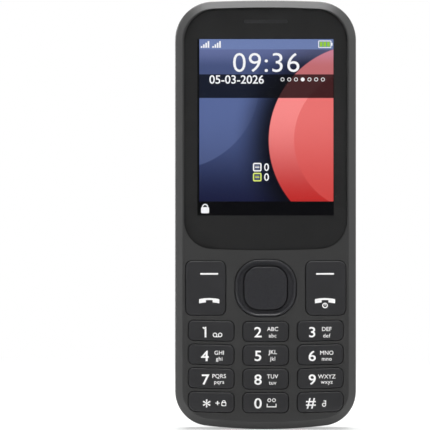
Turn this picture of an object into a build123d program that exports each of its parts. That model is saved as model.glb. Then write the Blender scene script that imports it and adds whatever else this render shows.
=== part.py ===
from build123d import *
import os

# Bar phone standing on its bottom end: +Z runs towards the earpiece, +X to the right of the
# screen, and the screen faces -Y. Lengths are in millimetres. A depth is measured inwards from
# the front face, and a height from the middle of the body's length.

# Body
body_length = 134.0
body_width = 56.5
body_thickness = 13.1  # front face to back face, keys left out
key_rise = 0.4  # crown of the keys above the front face
top_corner = 12.0
bottom_corner = 10.8
top_arch = 1.0  # bow of the top end between its corners
bottom_arch = 2.6
front_bevel_width = 2.35  # slope round the front face, across the face
front_bevel_depth = 1.8
front_bevel_round = 0.8  # where the slope meets the side walls
front_bevel_soft = 0.5  # where the slope meets the face
back_round = 5.6
split_depth = 6.6  # seam between front housing and rear cover
seam_break = 0.15
edge_break = 0.15

# Walls and clearances
face_wall = 1.5
side_wall = 1.3
cover_wall = 1.2
seat_gap = 0.1  # around pieces that sit in a pocket
key_gap = 0.2  # around keys in their openings
stack_gap = 0.1  # between layers of the inside

# Display
window_side_margin = 2.85
window_top_margin = 2.45
window_thickness = 0.8
window_recess = 0.05
window_top_corner = 10.0
window_bottom_corner = 8.8
window_top_arch = 0.9
window_bottom_arch = 0.8
window_edge = 0.12
tape_thickness = 0.1
view_side_margin = 4.1
view_top_margin = 9.6
view_bottom_margin = 10.75
view_relief = 0.5  # housing opening beyond the visible area
gasket_thickness = 0.3
gasket_relief = 0.8
lcd_border = 2.2  # frame beyond the visible area at the sides
lcd_top_border = 1.7
lcd_bottom_border = 4.8
lcd_wall = 0.7
panel_thickness = 1.1
flex_width = 20.0
flex_gap = 0.6
flex_thickness = 0.12

# Earpiece
earpiece_drop = 4.2  # slot below the window's top edge
earpiece_length = 13.7
earpiece_height = 1.2
earpiece_port_margin = 0.5  # box beyond its sound port
mesh_rim = 0.75
mesh_thickness = 0.12
speaker_box_length = 15.0
speaker_box_height = 4.8
speaker_box_depth = 2.3

# Number keys
keypad_bottom_margin = 5.35
keypad_side_margin = 4.2
key_height = 6.1
column_bar = 2.9
row_bar = 1.3
key_corner = 1.6
outer_key_corner = 2.6
key_smile = 640.0  # radius of the gentle curve that the rows follow
key_crown = 26.0
key_edge = 0.25
key_lip = 0.35
lip_thickness = 0.6
lip_gap = 0.05
key_travel = 0.4
plunger_radius = 1.1

# Rocker keys and navigation key
nav_gap = 2.1
window_gap = 3.5
rocker_height = 16.8
rocker_side_margin = 3.35
rocker_corner = 1.9
rocker_crown = 140.0
rocker_plunger_reach = 5.2
nav_width = 19.0
nav_height = 17.6
nav_corner = 7.6
nav_side_gap = 3.05
nav_rim = 0.4
nav_slope = 0.9
nav_floor = 0.45  # floor of the ring behind the front face
nav_plunger_reach = 8.1
nav_plunger_radius = 0.65
ok_size = 13.3
ok_corner = 4.4
ok_gap = 0.35
ok_dish = 60.0
ok_dish_depth = 0.3
ok_lip = 0.6
ok_lip_thickness = 0.35
tilt_room = 0.45  # free height above the lips of the tilting keys
tilt_lip_thickness = 0.5
tilt_gap = 0.3  # free height under the tilting keys
fulcrum_gap = 0.05
fulcrum_width = 0.6
collar_thickness = 0.25
mat_thickness = 0.3
mat_margin = 2.0
mat_rim = 0.8
plunger_room = 0.5
dome_gap = 0.25
dome_radius = 2.4
dome_rise = 0.3
film_thickness = 0.08
led_length = 1.6
led_width = 0.8
led_height = 0.4
led_room = 0.4

# Board and the pieces on it
board_inset = 2.7
board_thickness = 0.9
board_hole_gap = 0.15
part_height = 1.3  # tallest flat piece on the back of the board
can_height = 1.2
can_wall = 0.2
can_corner = 1.0
radio_can_length = 20.0
radio_can_height = 18.0
radio_can_drop = 20.0
processor_can_length = 26.0
processor_can_height = 14.0
processor_can_lift = 15.0
sim_length = 15.4
sim_height = 14.5
sim_spacing = 18.2
card_slot = 0.8
card_wall = 1.0
memory_length = 13.6
memory_height = 15.0
usb_width = 7.5
usb_height = 2.7
usb_length = 5.0
usb_recess = 0.8
usb_shell = 0.3
usb_tongue_width = 3.8
usb_tongue_height = 0.6
port_gap = 0.3
jack_clearance = 1.1  # between the socket and the screw boss beside it
jack_nose_radius = 2.5
jack_bore_radius = 1.8
jack_width = 6.4
jack_height = 4.6
jack_length = 12.5
jack_nose_length = 3.0
jack_recess = 1.0
jack_drop = 0.2  # axis of the bore behind the seam
jack_corner = 0.6
jack_end_wall = 0.5
microphone_x = -10.0
microphone_length = 4.0
microphone_width = 3.0
microphone_height = 1.1
microphone_lift = 6.5
microphone_corner = 0.3
boot_length = 4.6
boot_height = 1.25
boot_corner = 0.5
sound_hole_radius = 0.5

# Chassis and the pieces in it
chassis_inset = 1.75
platform_inset = 2.9
chassis_floor = 0.8
chassis_room = 2.3  # from the platforms to the inside of the cover
battery_lift = 27.0  # battery above the bottom end
battery_top_margin = 51.0  # battery below the top end
battery_gap = 0.2
battery_corner = 2.0
battery_edge = 0.4
well_wall = 0.75
socket_window_margin = 3.0
contact_x = 10.0
contact_length = 9.0
contact_width = 3.6
contact_height = 3.6
contact_pitch = 2.6
contact_gap = 0.8
finger_width = 0.8
finger_length = 1.5
finger_height = 0.9
finger_drop = 0.4
finger_room = 2.0
loudspeaker_side_margin = 15.75
loudspeaker_drop = 23.0
loudspeaker_length = 15.0
loudspeaker_width = 11.0
loudspeaker_thickness = 3.4
loudspeaker_corner = 3.0
gasket_width = 1.4
cone_depth = 0.6
cone_set = 0.1
motor_side_margin = 16.25
motor_drop = 27.0
motor_radius = 5.0
motor_thickness = 2.7
motor_edge = 0.3
antenna_length = 34.0
antenna_width = 11.0
antenna_lift = 14.0
antenna_thickness = 0.2
antenna_slot = 1.2
antenna_corner = 1.0
torch_radius = 1.5
torch_led_width = 2.8
torch_led_length = 1.6
torch_led_height = 2.4
torch_led_drop = 3.6
boss_radius = 2.0
pilot_radius = 0.65
screw_radius = 0.6
screw_length = 4.0
head_radius = 1.2
head_height = 0.8
boss_post = 1.4  # boss radius where it passes the board
top_screw_side_margin = 7.45
top_screw_drop = 7.4
middle_screw_side_margin = 5.05
middle_screw_lift = 1.5  # above the window's lower edge
bottom_screw_x = 14.0

# Rear cover
cover_flank = 0.4  # least straight side of the cover
tab_length = 8.0
tab_thickness = 0.8
tab_reach = 1.8
tab_heights = (38.0, 4.0, -38.0)
slot_count = 5
slot_length = 9.0
slot_width = 0.9
slot_pitch = 1.8
cover_mesh_thickness = 0.1

# Positions along the body, from the two ends inwards
half_length = body_length / 2
half_width = body_width / 2
keypad_bottom = keypad_bottom_margin - half_length
key_width = (body_width - 2 * keypad_side_margin - 2 * column_bar) / 3
column_pitch = key_width + column_bar
row_pitch = key_height + row_bar
keypad_top = keypad_bottom + 3 * row_pitch + key_height
nav_middle = keypad_top + nav_gap + rocker_height / 2
rocker_top = nav_middle + rocker_height / 2
rocker_inner = nav_width / 2 + nav_side_gap
rocker_width = half_width - rocker_side_margin - rocker_inner
rocker_x = rocker_inner + rocker_width / 2
window_bottom = rocker_top + window_gap
window_top = half_length - window_top_margin
window_width = body_width - 2 * window_side_margin
view_width = window_width - 2 * view_side_margin
view_top = window_top - view_top_margin
view_bottom = window_bottom + view_bottom_margin
view_height = view_top - view_bottom
view_middle = (view_top + view_bottom) / 2
frame_width = view_width + 2 * lcd_border
frame_top = view_top + lcd_top_border
frame_bottom = view_bottom - lcd_bottom_border
frame_height = frame_top - frame_bottom
frame_middle = (frame_top + frame_bottom) / 2
earpiece_y = window_top - earpiece_drop
battery_bottom = battery_lift - half_length
battery_top = half_length - battery_top_margin
battery_length = battery_top - battery_bottom
battery_middle = (battery_bottom + battery_top) / 2
contact_y = battery_top + battery_gap + contact_gap + contact_width / 2
loudspeaker_x = loudspeaker_side_margin - half_width
loudspeaker_y = half_length - loudspeaker_drop
motor_x = half_width - motor_side_margin
motor_y = half_length - motor_drop
torch_led_y = half_length - torch_led_drop

# Card sockets, spread evenly between the lower shield can and the battery contacts
processor_can_middle = processor_can_lift - half_length
processor_can_top = processor_can_middle + processor_can_height / 2
card_room = contact_y - contact_width / 2 - processor_can_top
card_gap = (card_room - memory_height - sim_height) / 3
memory_middle = processor_can_top + card_gap + memory_height / 2
sim_middle = memory_middle + (memory_height + sim_height) / 2 + card_gap

# Depths, from the front face to the back
tape_front = window_recess + window_thickness
window_seat = tape_front + tape_thickness
lip_front = face_wall + lip_gap
lip_back = lip_front + lip_thickness
tilt_lip_front = face_wall + tilt_room
tilt_lip_back = tilt_lip_front + tilt_lip_thickness
collar_front = tilt_lip_back + tilt_gap
collar_back = collar_front + collar_thickness
mat_front = collar_back + tilt_gap
mat_back = mat_front + mat_thickness
dome_top = mat_back + dome_gap
film_front = dome_top + dome_rise
board_front = film_front + film_thickness
board_back = board_front + board_thickness
plunger_end = dome_top - key_travel - stack_gap / 2
tilt_plunger_end = dome_top - tilt_gap
ok_lip_front = tilt_lip_back + tilt_gap + stack_gap
ok_lip_back = ok_lip_front + ok_lip_thickness
lcd_front = face_wall + gasket_thickness
lcd_back = board_front - stack_gap
panel_back = lcd_front + panel_thickness
chassis_front = board_back + part_height + stack_gap
floor_back = chassis_front + chassis_floor
cover_inside = body_thickness - cover_wall
chassis_back = cover_inside - chassis_room
battery_front = floor_back + stack_gap
battery_back = cover_inside - battery_gap
usb_depth = board_back + usb_height / 2 + stack_gap / 2
microphone_depth = board_back + microphone_height / 2
torch_depth = floor_back + torch_radius + stack_gap
cover_round = min(back_round, body_thickness - split_depth - cover_flank)

# Screws: two at the top corners, two beside the middle, two below the keys
bottom_screw_y = (
    (side_wall + bottom_arch * (bottom_screw_x / half_width) ** 2 + keypad_bottom_margin - key_lip) / 2
    - half_length
)
middle_screw_x = half_width - middle_screw_side_margin
middle_screw_y = window_bottom + middle_screw_lift
top_screw_x = half_width - top_screw_side_margin
top_screw_y = half_length - top_screw_drop
jack_x = top_screw_x - boss_radius - jack_clearance - jack_width / 2
screw_spots = [
    (side * x, y)
    for x, y in (
        (top_screw_x, top_screw_y),
        (middle_screw_x, middle_screw_y),
        (bottom_screw_x, bottom_screw_y),
    )
    for side in (-1, 1)
]
wide_boss_spots = screw_spots[:4]
battery_width = 2 * (middle_screw_x - head_radius - seat_gap - well_wall - battery_gap)

# Keypad mat and the dome film under it
mat_width = body_width - 2 * (side_wall + mat_margin)
mat_bottom = bottom_screw_y + boss_post + seat_gap
mat_top = nav_middle + nav_plunger_reach + dome_radius + seat_gap + mat_rim
mat_middle = (mat_bottom + mat_top) / 2
flex_length = frame_bottom - mat_top - flex_gap

face_y = key_rise - (body_thickness + key_rise) / 2
face_plane = Plane(origin=(0, face_y, half_length), x_dir=(1, 0, 0), z_dir=(0, -1, 0))
key_rows = (("star", "0", "hash"), ("7", "8", "9"), ("4", "5", "6"), ("1", "2", "3"))


def level(depth):
    """Plane at a depth behind the front face, its normal pointing out of the screen."""
    return face_plane.offset(-depth)


def bottom_end(depth):
    """Plane on the bottom end, centred at a depth; its y axis points to the front."""
    return Plane(origin=(0, face_y + depth, 0), x_dir=(1, 0, 0), z_dir=(0, 0, -1))


def top_end(depth):
    """Plane on the top end, centred at a depth; its x axis points to -X, its y axis to the front."""
    return Plane(origin=(0, face_y + depth, body_length), x_dir=(-1, 0, 0), z_dir=(0, 0, 1))


def side_plane(x):
    """Plane across the body at x, with depth along its x axis and height along its y axis."""
    return Plane(origin=(x, face_y, half_length), x_dir=(0, 1, 0), z_dir=(1, 0, 0))


def arched_face(width, bottom, top, bow_low, bow_high, corner_low, corner_high):
    """Rounded panel with straight sides whose two ends bow outwards."""
    side = width / 2
    with BuildSketch() as panel:
        with BuildLine():
            Line((-side, bottom + bow_low), (-side, top - bow_high))
            ThreePointArc((-side, top - bow_high), (0, top), (side, top - bow_high))
            Line((side, top - bow_high), (side, bottom + bow_low))
            ThreePointArc((side, bottom + bow_low), (0, bottom), (-side, bottom + bow_low))
        make_face()
        fillet(panel.vertices().group_by(Axis.Y)[-1], corner_high)
        fillet(panel.vertices().group_by(Axis.Y)[0], corner_low)
    return panel.sketch


def grown(face, amount):
    """The face with its edge moved outwards, or inwards for a negative amount."""
    with BuildSketch() as moved:
        add(face)
        offset(amount=amount)
    return moved.sketch


def rounded_face(x, y, width, height, corner):
    """Rounded rectangle around a point of the front face."""
    with BuildSketch() as panel:
        with Locations((x, y)):
            RectangleRounded(width, height, corner)
    return panel.sketch


def smile(x):
    """Rise of the key rows at a distance from the middle."""
    return x * x / (2 * key_smile)


def key_middle(column, row):
    """Middle of a number key: columns -1, 0 and 1, rows counted up from the bottom."""
    x = column * column_pitch
    return x, keypad_bottom + row * row_pitch + key_height / 2 + smile(x)


def number_key_face(column, row):
    """Outline of a number key; the outer keys of the bottom row follow the body's corners."""
    middle = column * column_pitch
    left = middle - key_width / 2
    right = middle + key_width / 2
    low = keypad_bottom + row * row_pitch
    high = low + key_height
    corner_point = ((column or 1) * body_width, -body_length)
    outer_corner = outer_key_corner if row == 0 and column else key_corner
    with BuildSketch() as cap:
        with BuildLine():
            ThreePointArc(
                (left, low + smile(left)), (middle, low + smile(middle)), (right, low + smile(right))
            )
            Line((right, low + smile(right)), (right, high + smile(right)))
            ThreePointArc(
                (right, high + smile(right)), (middle, high + smile(middle)), (left, high + smile(left))
            )
            Line((left, high + smile(left)), (left, low + smile(left)))
        make_face()
        fillet(cap.vertices().sort_by_distance(corner_point)[1:], key_corner)
        fillet(cap.vertices().sort_by_distance(corner_point)[0], outer_corner)
    return cap.sketch


body_face = arched_face(
    body_width, -half_length, half_length, bottom_arch, top_arch, bottom_corner, top_corner
)
window_face = arched_face(
    window_width,
    window_bottom,
    window_top,
    window_bottom_arch,
    window_top_arch,
    window_bottom_corner,
    window_top_corner,
)
number_keys = {
    name: (column, row, number_key_face(column, row))
    for row, names in enumerate(key_rows)
    for column, name in zip((-1, 0, 1), names)
}
rocker_faces = {
    side: rounded_face(side * rocker_x, nav_middle, rocker_width, rocker_height, rocker_corner)
    for side in (-1, 1)
}
nav_face = rounded_face(0, nav_middle, nav_width, nav_height, nav_corner)
ok_face = rounded_face(0, nav_middle, ok_size, ok_size, ok_corner)
cap_faces = [face for column, row, face in number_keys.values()] + list(rocker_faces.values()) + [nav_face]
key_middles = [key_middle(column, row) for column, row, face in number_keys.values()]
rocker_plungers = {
    side: [(side * rocker_x, nav_middle + end * rocker_plunger_reach) for end in (-1, 1)] for side in (-1, 1)
}
nav_plungers = [
    (nav_plunger_reach, nav_middle),
    (-nav_plunger_reach, nav_middle),
    (0, nav_middle + nav_plunger_reach),
    (0, nav_middle - nav_plunger_reach),
]
dome_spots = key_middles + rocker_plungers[-1] + rocker_plungers[1] + nav_plungers + [(0, nav_middle)]
led_spots = [
    (side * column_pitch / 2, keypad_bottom + row * row_pitch + key_height / 2)
    for row in (0, 1, 2, 3)
    for side in (-1, 1)
]
tab_spots = [(side, height) for side in (-1, 1) for height in tab_heights]

os.makedirs("parts", exist_ok=True)

# Front housing: face, side walls, screw bosses, and the openings for window, keys and sockets
with BuildPart() as front_housing:
    with BuildSketch(level(split_depth)):
        add(body_face)
    extrude(amount=split_depth)
    front_sheet = front_housing.faces().sort_by(Axis.Y)[0]
    chamfer(front_sheet.edges(), front_bevel_width, front_bevel_depth, reference=front_sheet)
    bevel_foot = face_y + front_bevel_depth
    foot_edges = front_housing.edges().filter_by_position(Axis.Y, bevel_foot - 0.01, bevel_foot + 0.01)
    fillet(foot_edges, front_bevel_round)
    face_edges = front_housing.faces().sort_by(Axis.Y)[0].edges()
    fillet(face_edges, front_bevel_soft)
    chamfer(front_housing.faces().sort_by(Axis.Y)[-1].edges(), seam_break)
    with BuildSketch(level(split_depth)):
        add(grown(body_face, -side_wall))
    extrude(amount=split_depth - face_wall, mode=Mode.SUBTRACT)
    with BuildSketch(level(chassis_front)):
        with Locations(*screw_spots):
            Circle(boss_post)
    extrude(amount=chassis_front - face_wall)
    with BuildSketch(level(board_front)):
        with Locations(*wide_boss_spots):
            Circle(boss_radius)
    extrude(amount=board_front - face_wall)
    with BuildSketch(level(chassis_front)):
        with Locations(*screw_spots):
            Circle(pilot_radius)
    extrude(amount=screw_length, mode=Mode.SUBTRACT)
    with BuildSketch(level(window_seat)):
        add(grown(window_face, seat_gap))
    extrude(amount=window_seat, mode=Mode.SUBTRACT)
    with BuildSketch(level(face_wall)):
        with Locations((0, view_middle)):
            Rectangle(view_width + 2 * view_relief, view_height + 2 * view_relief)
        with Locations((0, earpiece_y)):
            SlotOverall(earpiece_length, earpiece_height)
    extrude(amount=face_wall, mode=Mode.SUBTRACT)
    with BuildSketch(level(window_seat + mesh_thickness)):
        with Locations((0, earpiece_y)):
            SlotOverall(earpiece_length + 2 * mesh_rim + seat_gap, earpiece_height + 2 * mesh_rim + seat_gap)
    extrude(amount=mesh_thickness, mode=Mode.SUBTRACT)
    with BuildSketch(level(face_wall)):
        for face in cap_faces:
            add(grown(face, key_gap))
    extrude(amount=face_wall, mode=Mode.SUBTRACT)
    with BuildSketch(bottom_end(usb_depth)):
        RectangleRounded(usb_width + 2 * port_gap, usb_height + 2 * port_gap, usb_height / 2.5)
    extrude(amount=-usb_length, mode=Mode.SUBTRACT)
    with BuildSketch(top_end(split_depth + jack_drop)):
        with Locations((-jack_x, 0)):
            Circle(jack_nose_radius + port_gap)
    extrude(amount=-jack_nose_length, mode=Mode.SUBTRACT)
    with BuildSketch(bottom_end(microphone_depth)):
        with Locations((microphone_x, 0)):
            Circle(sound_hole_radius)
    extrude(amount=-side_wall * 2, mode=Mode.SUBTRACT)
    fillet(front_housing.faces().sort_by(Axis.Y)[0].inner_wires().edges(), edge_break)
front_housing.part.label = "front_housing"
export_step(front_housing.part, "parts/front_housing.step")

# Clear window with the earpiece slot
with BuildPart() as display_window:
    with BuildSketch(level(tape_front)):
        add(window_face)
    extrude(amount=window_thickness)
    chamfer(display_window.faces().sort_by(Axis.Y)[0].edges(), window_edge)
    with BuildSketch(level(tape_front)):
        with Locations((0, earpiece_y)):
            SlotOverall(earpiece_length, earpiece_height)
    extrude(amount=window_thickness, mode=Mode.SUBTRACT)
display_window.part.label = "display_window"
export_step(display_window.part, "parts/display_window.step")

# Black adhesive border between window and housing; its opening frames the picture
with BuildPart() as window_tape:
    with BuildSketch(level(window_seat)):
        add(window_face)
        with Locations((0, view_middle)):
            Rectangle(view_width, view_height, mode=Mode.SUBTRACT)
        with Locations((0, earpiece_y)):
            SlotOverall(earpiece_length, earpiece_height, mode=Mode.SUBTRACT)
    extrude(amount=tape_thickness)
window_tape.part.label = "window_tape"
export_step(window_tape.part, "parts/window_tape.step")

with BuildPart() as earpiece_mesh:
    with BuildSketch(level(window_seat + mesh_thickness)):
        with Locations((0, earpiece_y)):
            SlotOverall(earpiece_length + 2 * mesh_rim, earpiece_height + 2 * mesh_rim)
    extrude(amount=mesh_thickness)
earpiece_mesh.part.label = "earpiece_mesh"
export_step(earpiece_mesh.part, "parts/earpiece_mesh.step")

with BuildPart() as earpiece_speaker:
    with BuildSketch(level(face_wall + speaker_box_depth)):
        with Locations((0, earpiece_y)):
            RectangleRounded(speaker_box_length, speaker_box_height, speaker_box_height / 3)
    extrude(amount=speaker_box_depth)
    with BuildSketch(level(face_wall)):
        with Locations((0, earpiece_y)):
            SlotOverall(earpiece_length - 2 * earpiece_port_margin, earpiece_height * 2)
    extrude(amount=-speaker_box_depth / 4, mode=Mode.SUBTRACT)
earpiece_speaker.part.label = "earpiece_speaker"
export_step(earpiece_speaker.part, "parts/earpiece_speaker.step")

# LCD: foam gasket, glass panel in a backlight frame, ribbon down to the board
with BuildPart() as lcd_gasket:
    with BuildSketch(level(lcd_front)):
        with Locations((0, frame_middle)):
            Rectangle(frame_width - 2 * lcd_wall, frame_height - 2 * lcd_wall)
        with Locations((0, view_middle)):
            Rectangle(view_width + 2 * gasket_relief, view_height + 2 * gasket_relief, mode=Mode.SUBTRACT)
    extrude(amount=gasket_thickness)
lcd_gasket.part.label = "lcd_gasket"
export_step(lcd_gasket.part, "parts/lcd_gasket.step")

with BuildPart() as lcd_panel:
    with BuildSketch(level(panel_back)):
        with Locations((0, frame_middle)):
            Rectangle(frame_width - 2 * lcd_wall - 2 * seat_gap, frame_height - 2 * lcd_wall - 2 * seat_gap)
    extrude(amount=panel_thickness)
lcd_panel.part.label = "lcd_panel"
export_step(lcd_panel.part, "parts/lcd_panel.step")

with BuildPart() as lcd_frame:
    with BuildSketch(level(lcd_back)):
        with Locations((0, frame_middle)):
            RectangleRounded(frame_width, frame_height, lcd_wall)
    extrude(amount=lcd_back - lcd_front)
    with BuildSketch(level(panel_back)):
        with Locations((0, frame_middle)):
            Rectangle(frame_width - 2 * lcd_wall, frame_height - 2 * lcd_wall)
    extrude(amount=panel_thickness, mode=Mode.SUBTRACT)
lcd_frame.part.label = "lcd_frame"
export_step(lcd_frame.part, "parts/lcd_frame.step")

with BuildPart() as lcd_flex:
    with BuildSketch(level(panel_back + flex_thickness)):
        with Locations((0, frame_bottom - flex_length / 8)):
            Rectangle(flex_width, flex_length / 4)
    extrude(amount=flex_thickness)
    with BuildSketch(level(board_front)):
        with Locations((0, frame_bottom - flex_length / 4)):
            Rectangle(flex_width, flex_thickness)
    extrude(amount=board_front - panel_back)
    with BuildSketch(level(board_front)):
        with Locations((0, frame_bottom - flex_length * 5 / 8)):
            Rectangle(flex_width, flex_length * 3 / 4)
    extrude(amount=flex_thickness)
lcd_flex.part.label = "lcd_flex"
export_step(lcd_flex.part, "parts/lcd_flex.step")

# Number keys: crowned cap, lip behind the housing, plunger over its dome
for name, (column, row, face) in number_keys.items():
    middle_x, middle_y = key_middle(column, row)
    with BuildPart() as number_key:
        with BuildSketch(level(lip_back)):
            add(face)
        extrude(amount=lip_back + key_rise)
        with BuildSketch(side_plane(middle_x)):
            with Locations((key_crown - key_rise, middle_y)):
                Circle(key_crown)
        extrude(amount=key_width, both=True, mode=Mode.INTERSECT)
        fillet(number_key.faces().sort_by(Axis.Y)[0].edges(), key_edge)
        with BuildSketch(level(lip_back)):
            add(grown(face, key_lip))
        extrude(amount=lip_thickness)
        with BuildSketch(level(plunger_end)):
            with Locations((middle_x, middle_y)):
                Circle(plunger_radius)
        extrude(amount=plunger_end - lip_back)
    number_key.part.label = f"key_{name}"
    export_step(number_key.part, f"parts/key_{name}.step")

# Rocker keys: soft key above, call or end key below, tilting on a rib of the mat
for side, word in ((-1, "left"), (1, "right")):
    face = rocker_faces[side]
    with BuildPart() as rocker_key:
        with BuildSketch(level(tilt_lip_back)):
            add(face)
        extrude(amount=tilt_lip_back + key_rise)
        with BuildSketch(side_plane(side * rocker_x)):
            with Locations((rocker_crown - key_rise, nav_middle)):
                Circle(rocker_crown)
        extrude(amount=rocker_width, both=True, mode=Mode.INTERSECT)
        fillet(rocker_key.faces().sort_by(Axis.Y)[0].edges(), key_edge)
        with BuildSketch(level(tilt_lip_back)):
            add(grown(face, key_lip))
        extrude(amount=tilt_lip_thickness)
        with BuildSketch(level(tilt_plunger_end)):
            with Locations(*rocker_plungers[side]):
                Circle(plunger_radius)
        extrude(amount=tilt_plunger_end - tilt_lip_back)
    rocker_key.part.label = f"{word}_rocker_key"
    export_step(rocker_key.part, f"parts/{word}_rocker_key.step")

# Navigation ring around the OK key: a rim that slopes down to a floor
with BuildPart() as nav_ring:
    with BuildSketch(level(tilt_lip_back)):
        add(nav_face)
    extrude(amount=tilt_lip_back + key_rise)
    fillet(nav_ring.faces().sort_by(Axis.Y)[0].edges(), key_edge)
    with BuildSketch(level(tilt_lip_back)):
        add(grown(nav_face, key_lip))
    extrude(amount=tilt_lip_thickness)
    with BuildSketch(level(tilt_lip_back)):
        add(grown(ok_face, ok_gap))
    extrude(amount=tilt_lip_back + key_rise, mode=Mode.SUBTRACT)
    with BuildSketch(level(-key_rise)):
        add(grown(nav_face, -nav_rim))
    with BuildSketch(level(nav_floor)):
        add(grown(nav_face, -nav_rim - nav_slope))
    loft(ruled=True, mode=Mode.SUBTRACT)
nav_ring.part.label = "nav_ring"
export_step(nav_ring.part, "parts/nav_ring.step")

# Silicone collar that the ring tilts on sideways; the collar itself tilts up and down on the mat
with BuildPart() as nav_collar:
    with BuildSketch(level(collar_back)):
        add(nav_face)
        add(grown(ok_face, ok_gap + ok_lip), mode=Mode.SUBTRACT)
    extrude(amount=collar_thickness)
    with BuildSketch(level(tilt_plunger_end)):
        with Locations(*nav_plungers):
            Circle(nav_plunger_radius)
    extrude(amount=tilt_plunger_end - collar_back)
    with BuildSketch(level(collar_front)):
        with Locations(*nav_plungers[2:]):
            Rectangle(fulcrum_width, fulcrum_width * 2)
    extrude(amount=tilt_gap - fulcrum_gap)
nav_collar.part.label = "nav_collar"
export_step(nav_collar.part, "parts/nav_collar.step")

with BuildPart() as ok_key:
    with BuildSketch(level(ok_lip_back)):
        add(ok_face)
    extrude(amount=ok_lip_back + key_rise)
    fillet(ok_key.faces().sort_by(Axis.Y)[0].edges(), key_edge)
    with BuildSketch(side_plane(0)):
        with BuildLine():
            Line((-key_rise - ok_dish_depth, nav_middle), (ok_dish_depth - key_rise, nav_middle))
            RadiusArc(
                (ok_dish_depth - key_rise, nav_middle),
                (-key_rise - ok_dish_depth, nav_middle + (4 * ok_dish * ok_dish_depth) ** 0.5),
                -ok_dish,
            )
            Line(
                (-key_rise - ok_dish_depth, nav_middle + (4 * ok_dish * ok_dish_depth) ** 0.5),
                (-key_rise - ok_dish_depth, nav_middle),
            )
        make_face()
    revolve(
        axis=Axis((0, face_y, half_length + nav_middle), (0, 1, 0)),
        mode=Mode.SUBTRACT,
    )
    with BuildSketch(level(ok_lip_back)):
        add(grown(ok_face, ok_lip))
    extrude(amount=ok_lip_thickness)
    with BuildSketch(level(plunger_end)):
        with Locations((0, nav_middle)):
            Circle(plunger_radius)
    extrude(amount=plunger_end - ok_lip_back)
ok_key.part.label = "ok_key"
export_step(ok_key.part, "parts/ok_key.step")

# Silicone mat under the keys: rim on the dome film, holes for plungers, ribs for the tilting keys
with BuildPart() as keypad_mat:
    with BuildSketch(level(mat_back)):
        with Locations((0, mat_middle)):
            RectangleRounded(mat_width, mat_top - mat_bottom, bottom_corner / 2)
    extrude(amount=mat_thickness)
    with BuildSketch(level(film_front)):
        with Locations((0, mat_middle)):
            RectangleRounded(mat_width, mat_top - mat_bottom, bottom_corner / 2)
        with Locations((0, mat_middle)):
            RectangleRounded(
                mat_width - 2 * mat_rim,
                mat_top - mat_bottom - 2 * mat_rim,
                bottom_corner / 2 - mat_rim,
                mode=Mode.SUBTRACT,
            )
    extrude(amount=film_front - mat_back)
    with BuildSketch(level(mat_front)):
        for side in (-1, 1):
            with Locations((side * rocker_x, nav_middle)):
                Rectangle(rocker_width * 0.7, fulcrum_width)
    extrude(amount=mat_front - tilt_lip_back - fulcrum_gap)
    with BuildSketch(level(film_front)):
        with Locations(*key_middles, *rocker_plungers[-1], *rocker_plungers[1]):
            Circle(plunger_radius + plunger_room)
        with Locations(*nav_plungers):
            Circle(nav_plunger_radius + plunger_room)
        add(grown(ok_face, ok_lip + tilt_gap))
    extrude(amount=film_front - mat_front, mode=Mode.SUBTRACT)
keypad_mat.part.label = "keypad_mat"
export_step(keypad_mat.part, "parts/keypad_mat.step")

with BuildPart() as dome_sheet:
    with BuildSketch(level(board_front)):
        with Locations((0, mat_middle)):
            RectangleRounded(mat_width, mat_top - mat_bottom, bottom_corner / 2)
        with Locations(*led_spots):
            Rectangle(led_length + led_room, led_width + led_room, mode=Mode.SUBTRACT)
    extrude(amount=film_thickness)
    with BuildSketch(level(film_front)):
        with Locations(*dome_spots):
            Circle(dome_radius)
    extrude(amount=dome_rise, taper=60)
dome_sheet.part.label = "dome_sheet"
export_step(dome_sheet.part, "parts/dome_sheet.step")

with BuildPart() as key_lights:
    with BuildSketch(level(board_front)):
        with Locations(*led_spots):
            Rectangle(led_length, led_width)
    extrude(amount=led_height)
key_lights.part.label = "key_lights"
export_step(key_lights.part, "parts/key_lights.step")

# Main board with holes for the bosses and a cut-out for the headphone socket
jack_top = half_length - jack_recess
with BuildPart() as main_board:
    with BuildSketch(level(board_back)):
        add(grown(body_face, -board_inset))
        with Locations(*screw_spots):
            Circle(boss_post + board_hole_gap, mode=Mode.SUBTRACT)
        with Locations((jack_x, jack_top - jack_length / 2)):
            Rectangle(jack_width + 2 * port_gap, jack_length + 2 * port_gap, mode=Mode.SUBTRACT)
    extrude(amount=board_thickness)
main_board.part.label = "main_board"
export_step(main_board.part, "parts/main_board.step")

# Shield cans: drawn metal lids, open towards the board
for word, middle_y, length, height in (
    ("radio", half_length - radio_can_drop, radio_can_length, radio_can_height),
    ("processor", processor_can_middle, processor_can_length, processor_can_height),
):
    with BuildPart() as shield_can:
        with BuildSketch(level(board_back + can_height)):
            with Locations((0, middle_y)):
                RectangleRounded(length, height, can_corner)
        extrude(amount=can_height)
        with BuildSketch(level(board_back + can_height - can_wall)):
            with Locations((0, middle_y)):
                RectangleRounded(length - 2 * can_wall, height - 2 * can_wall, can_corner - can_wall)
        extrude(amount=can_height - can_wall, mode=Mode.SUBTRACT)
    shield_can.part.label = f"{word}_shield_can"
    export_step(shield_can.part, f"parts/{word}_shield_can.step")

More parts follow.
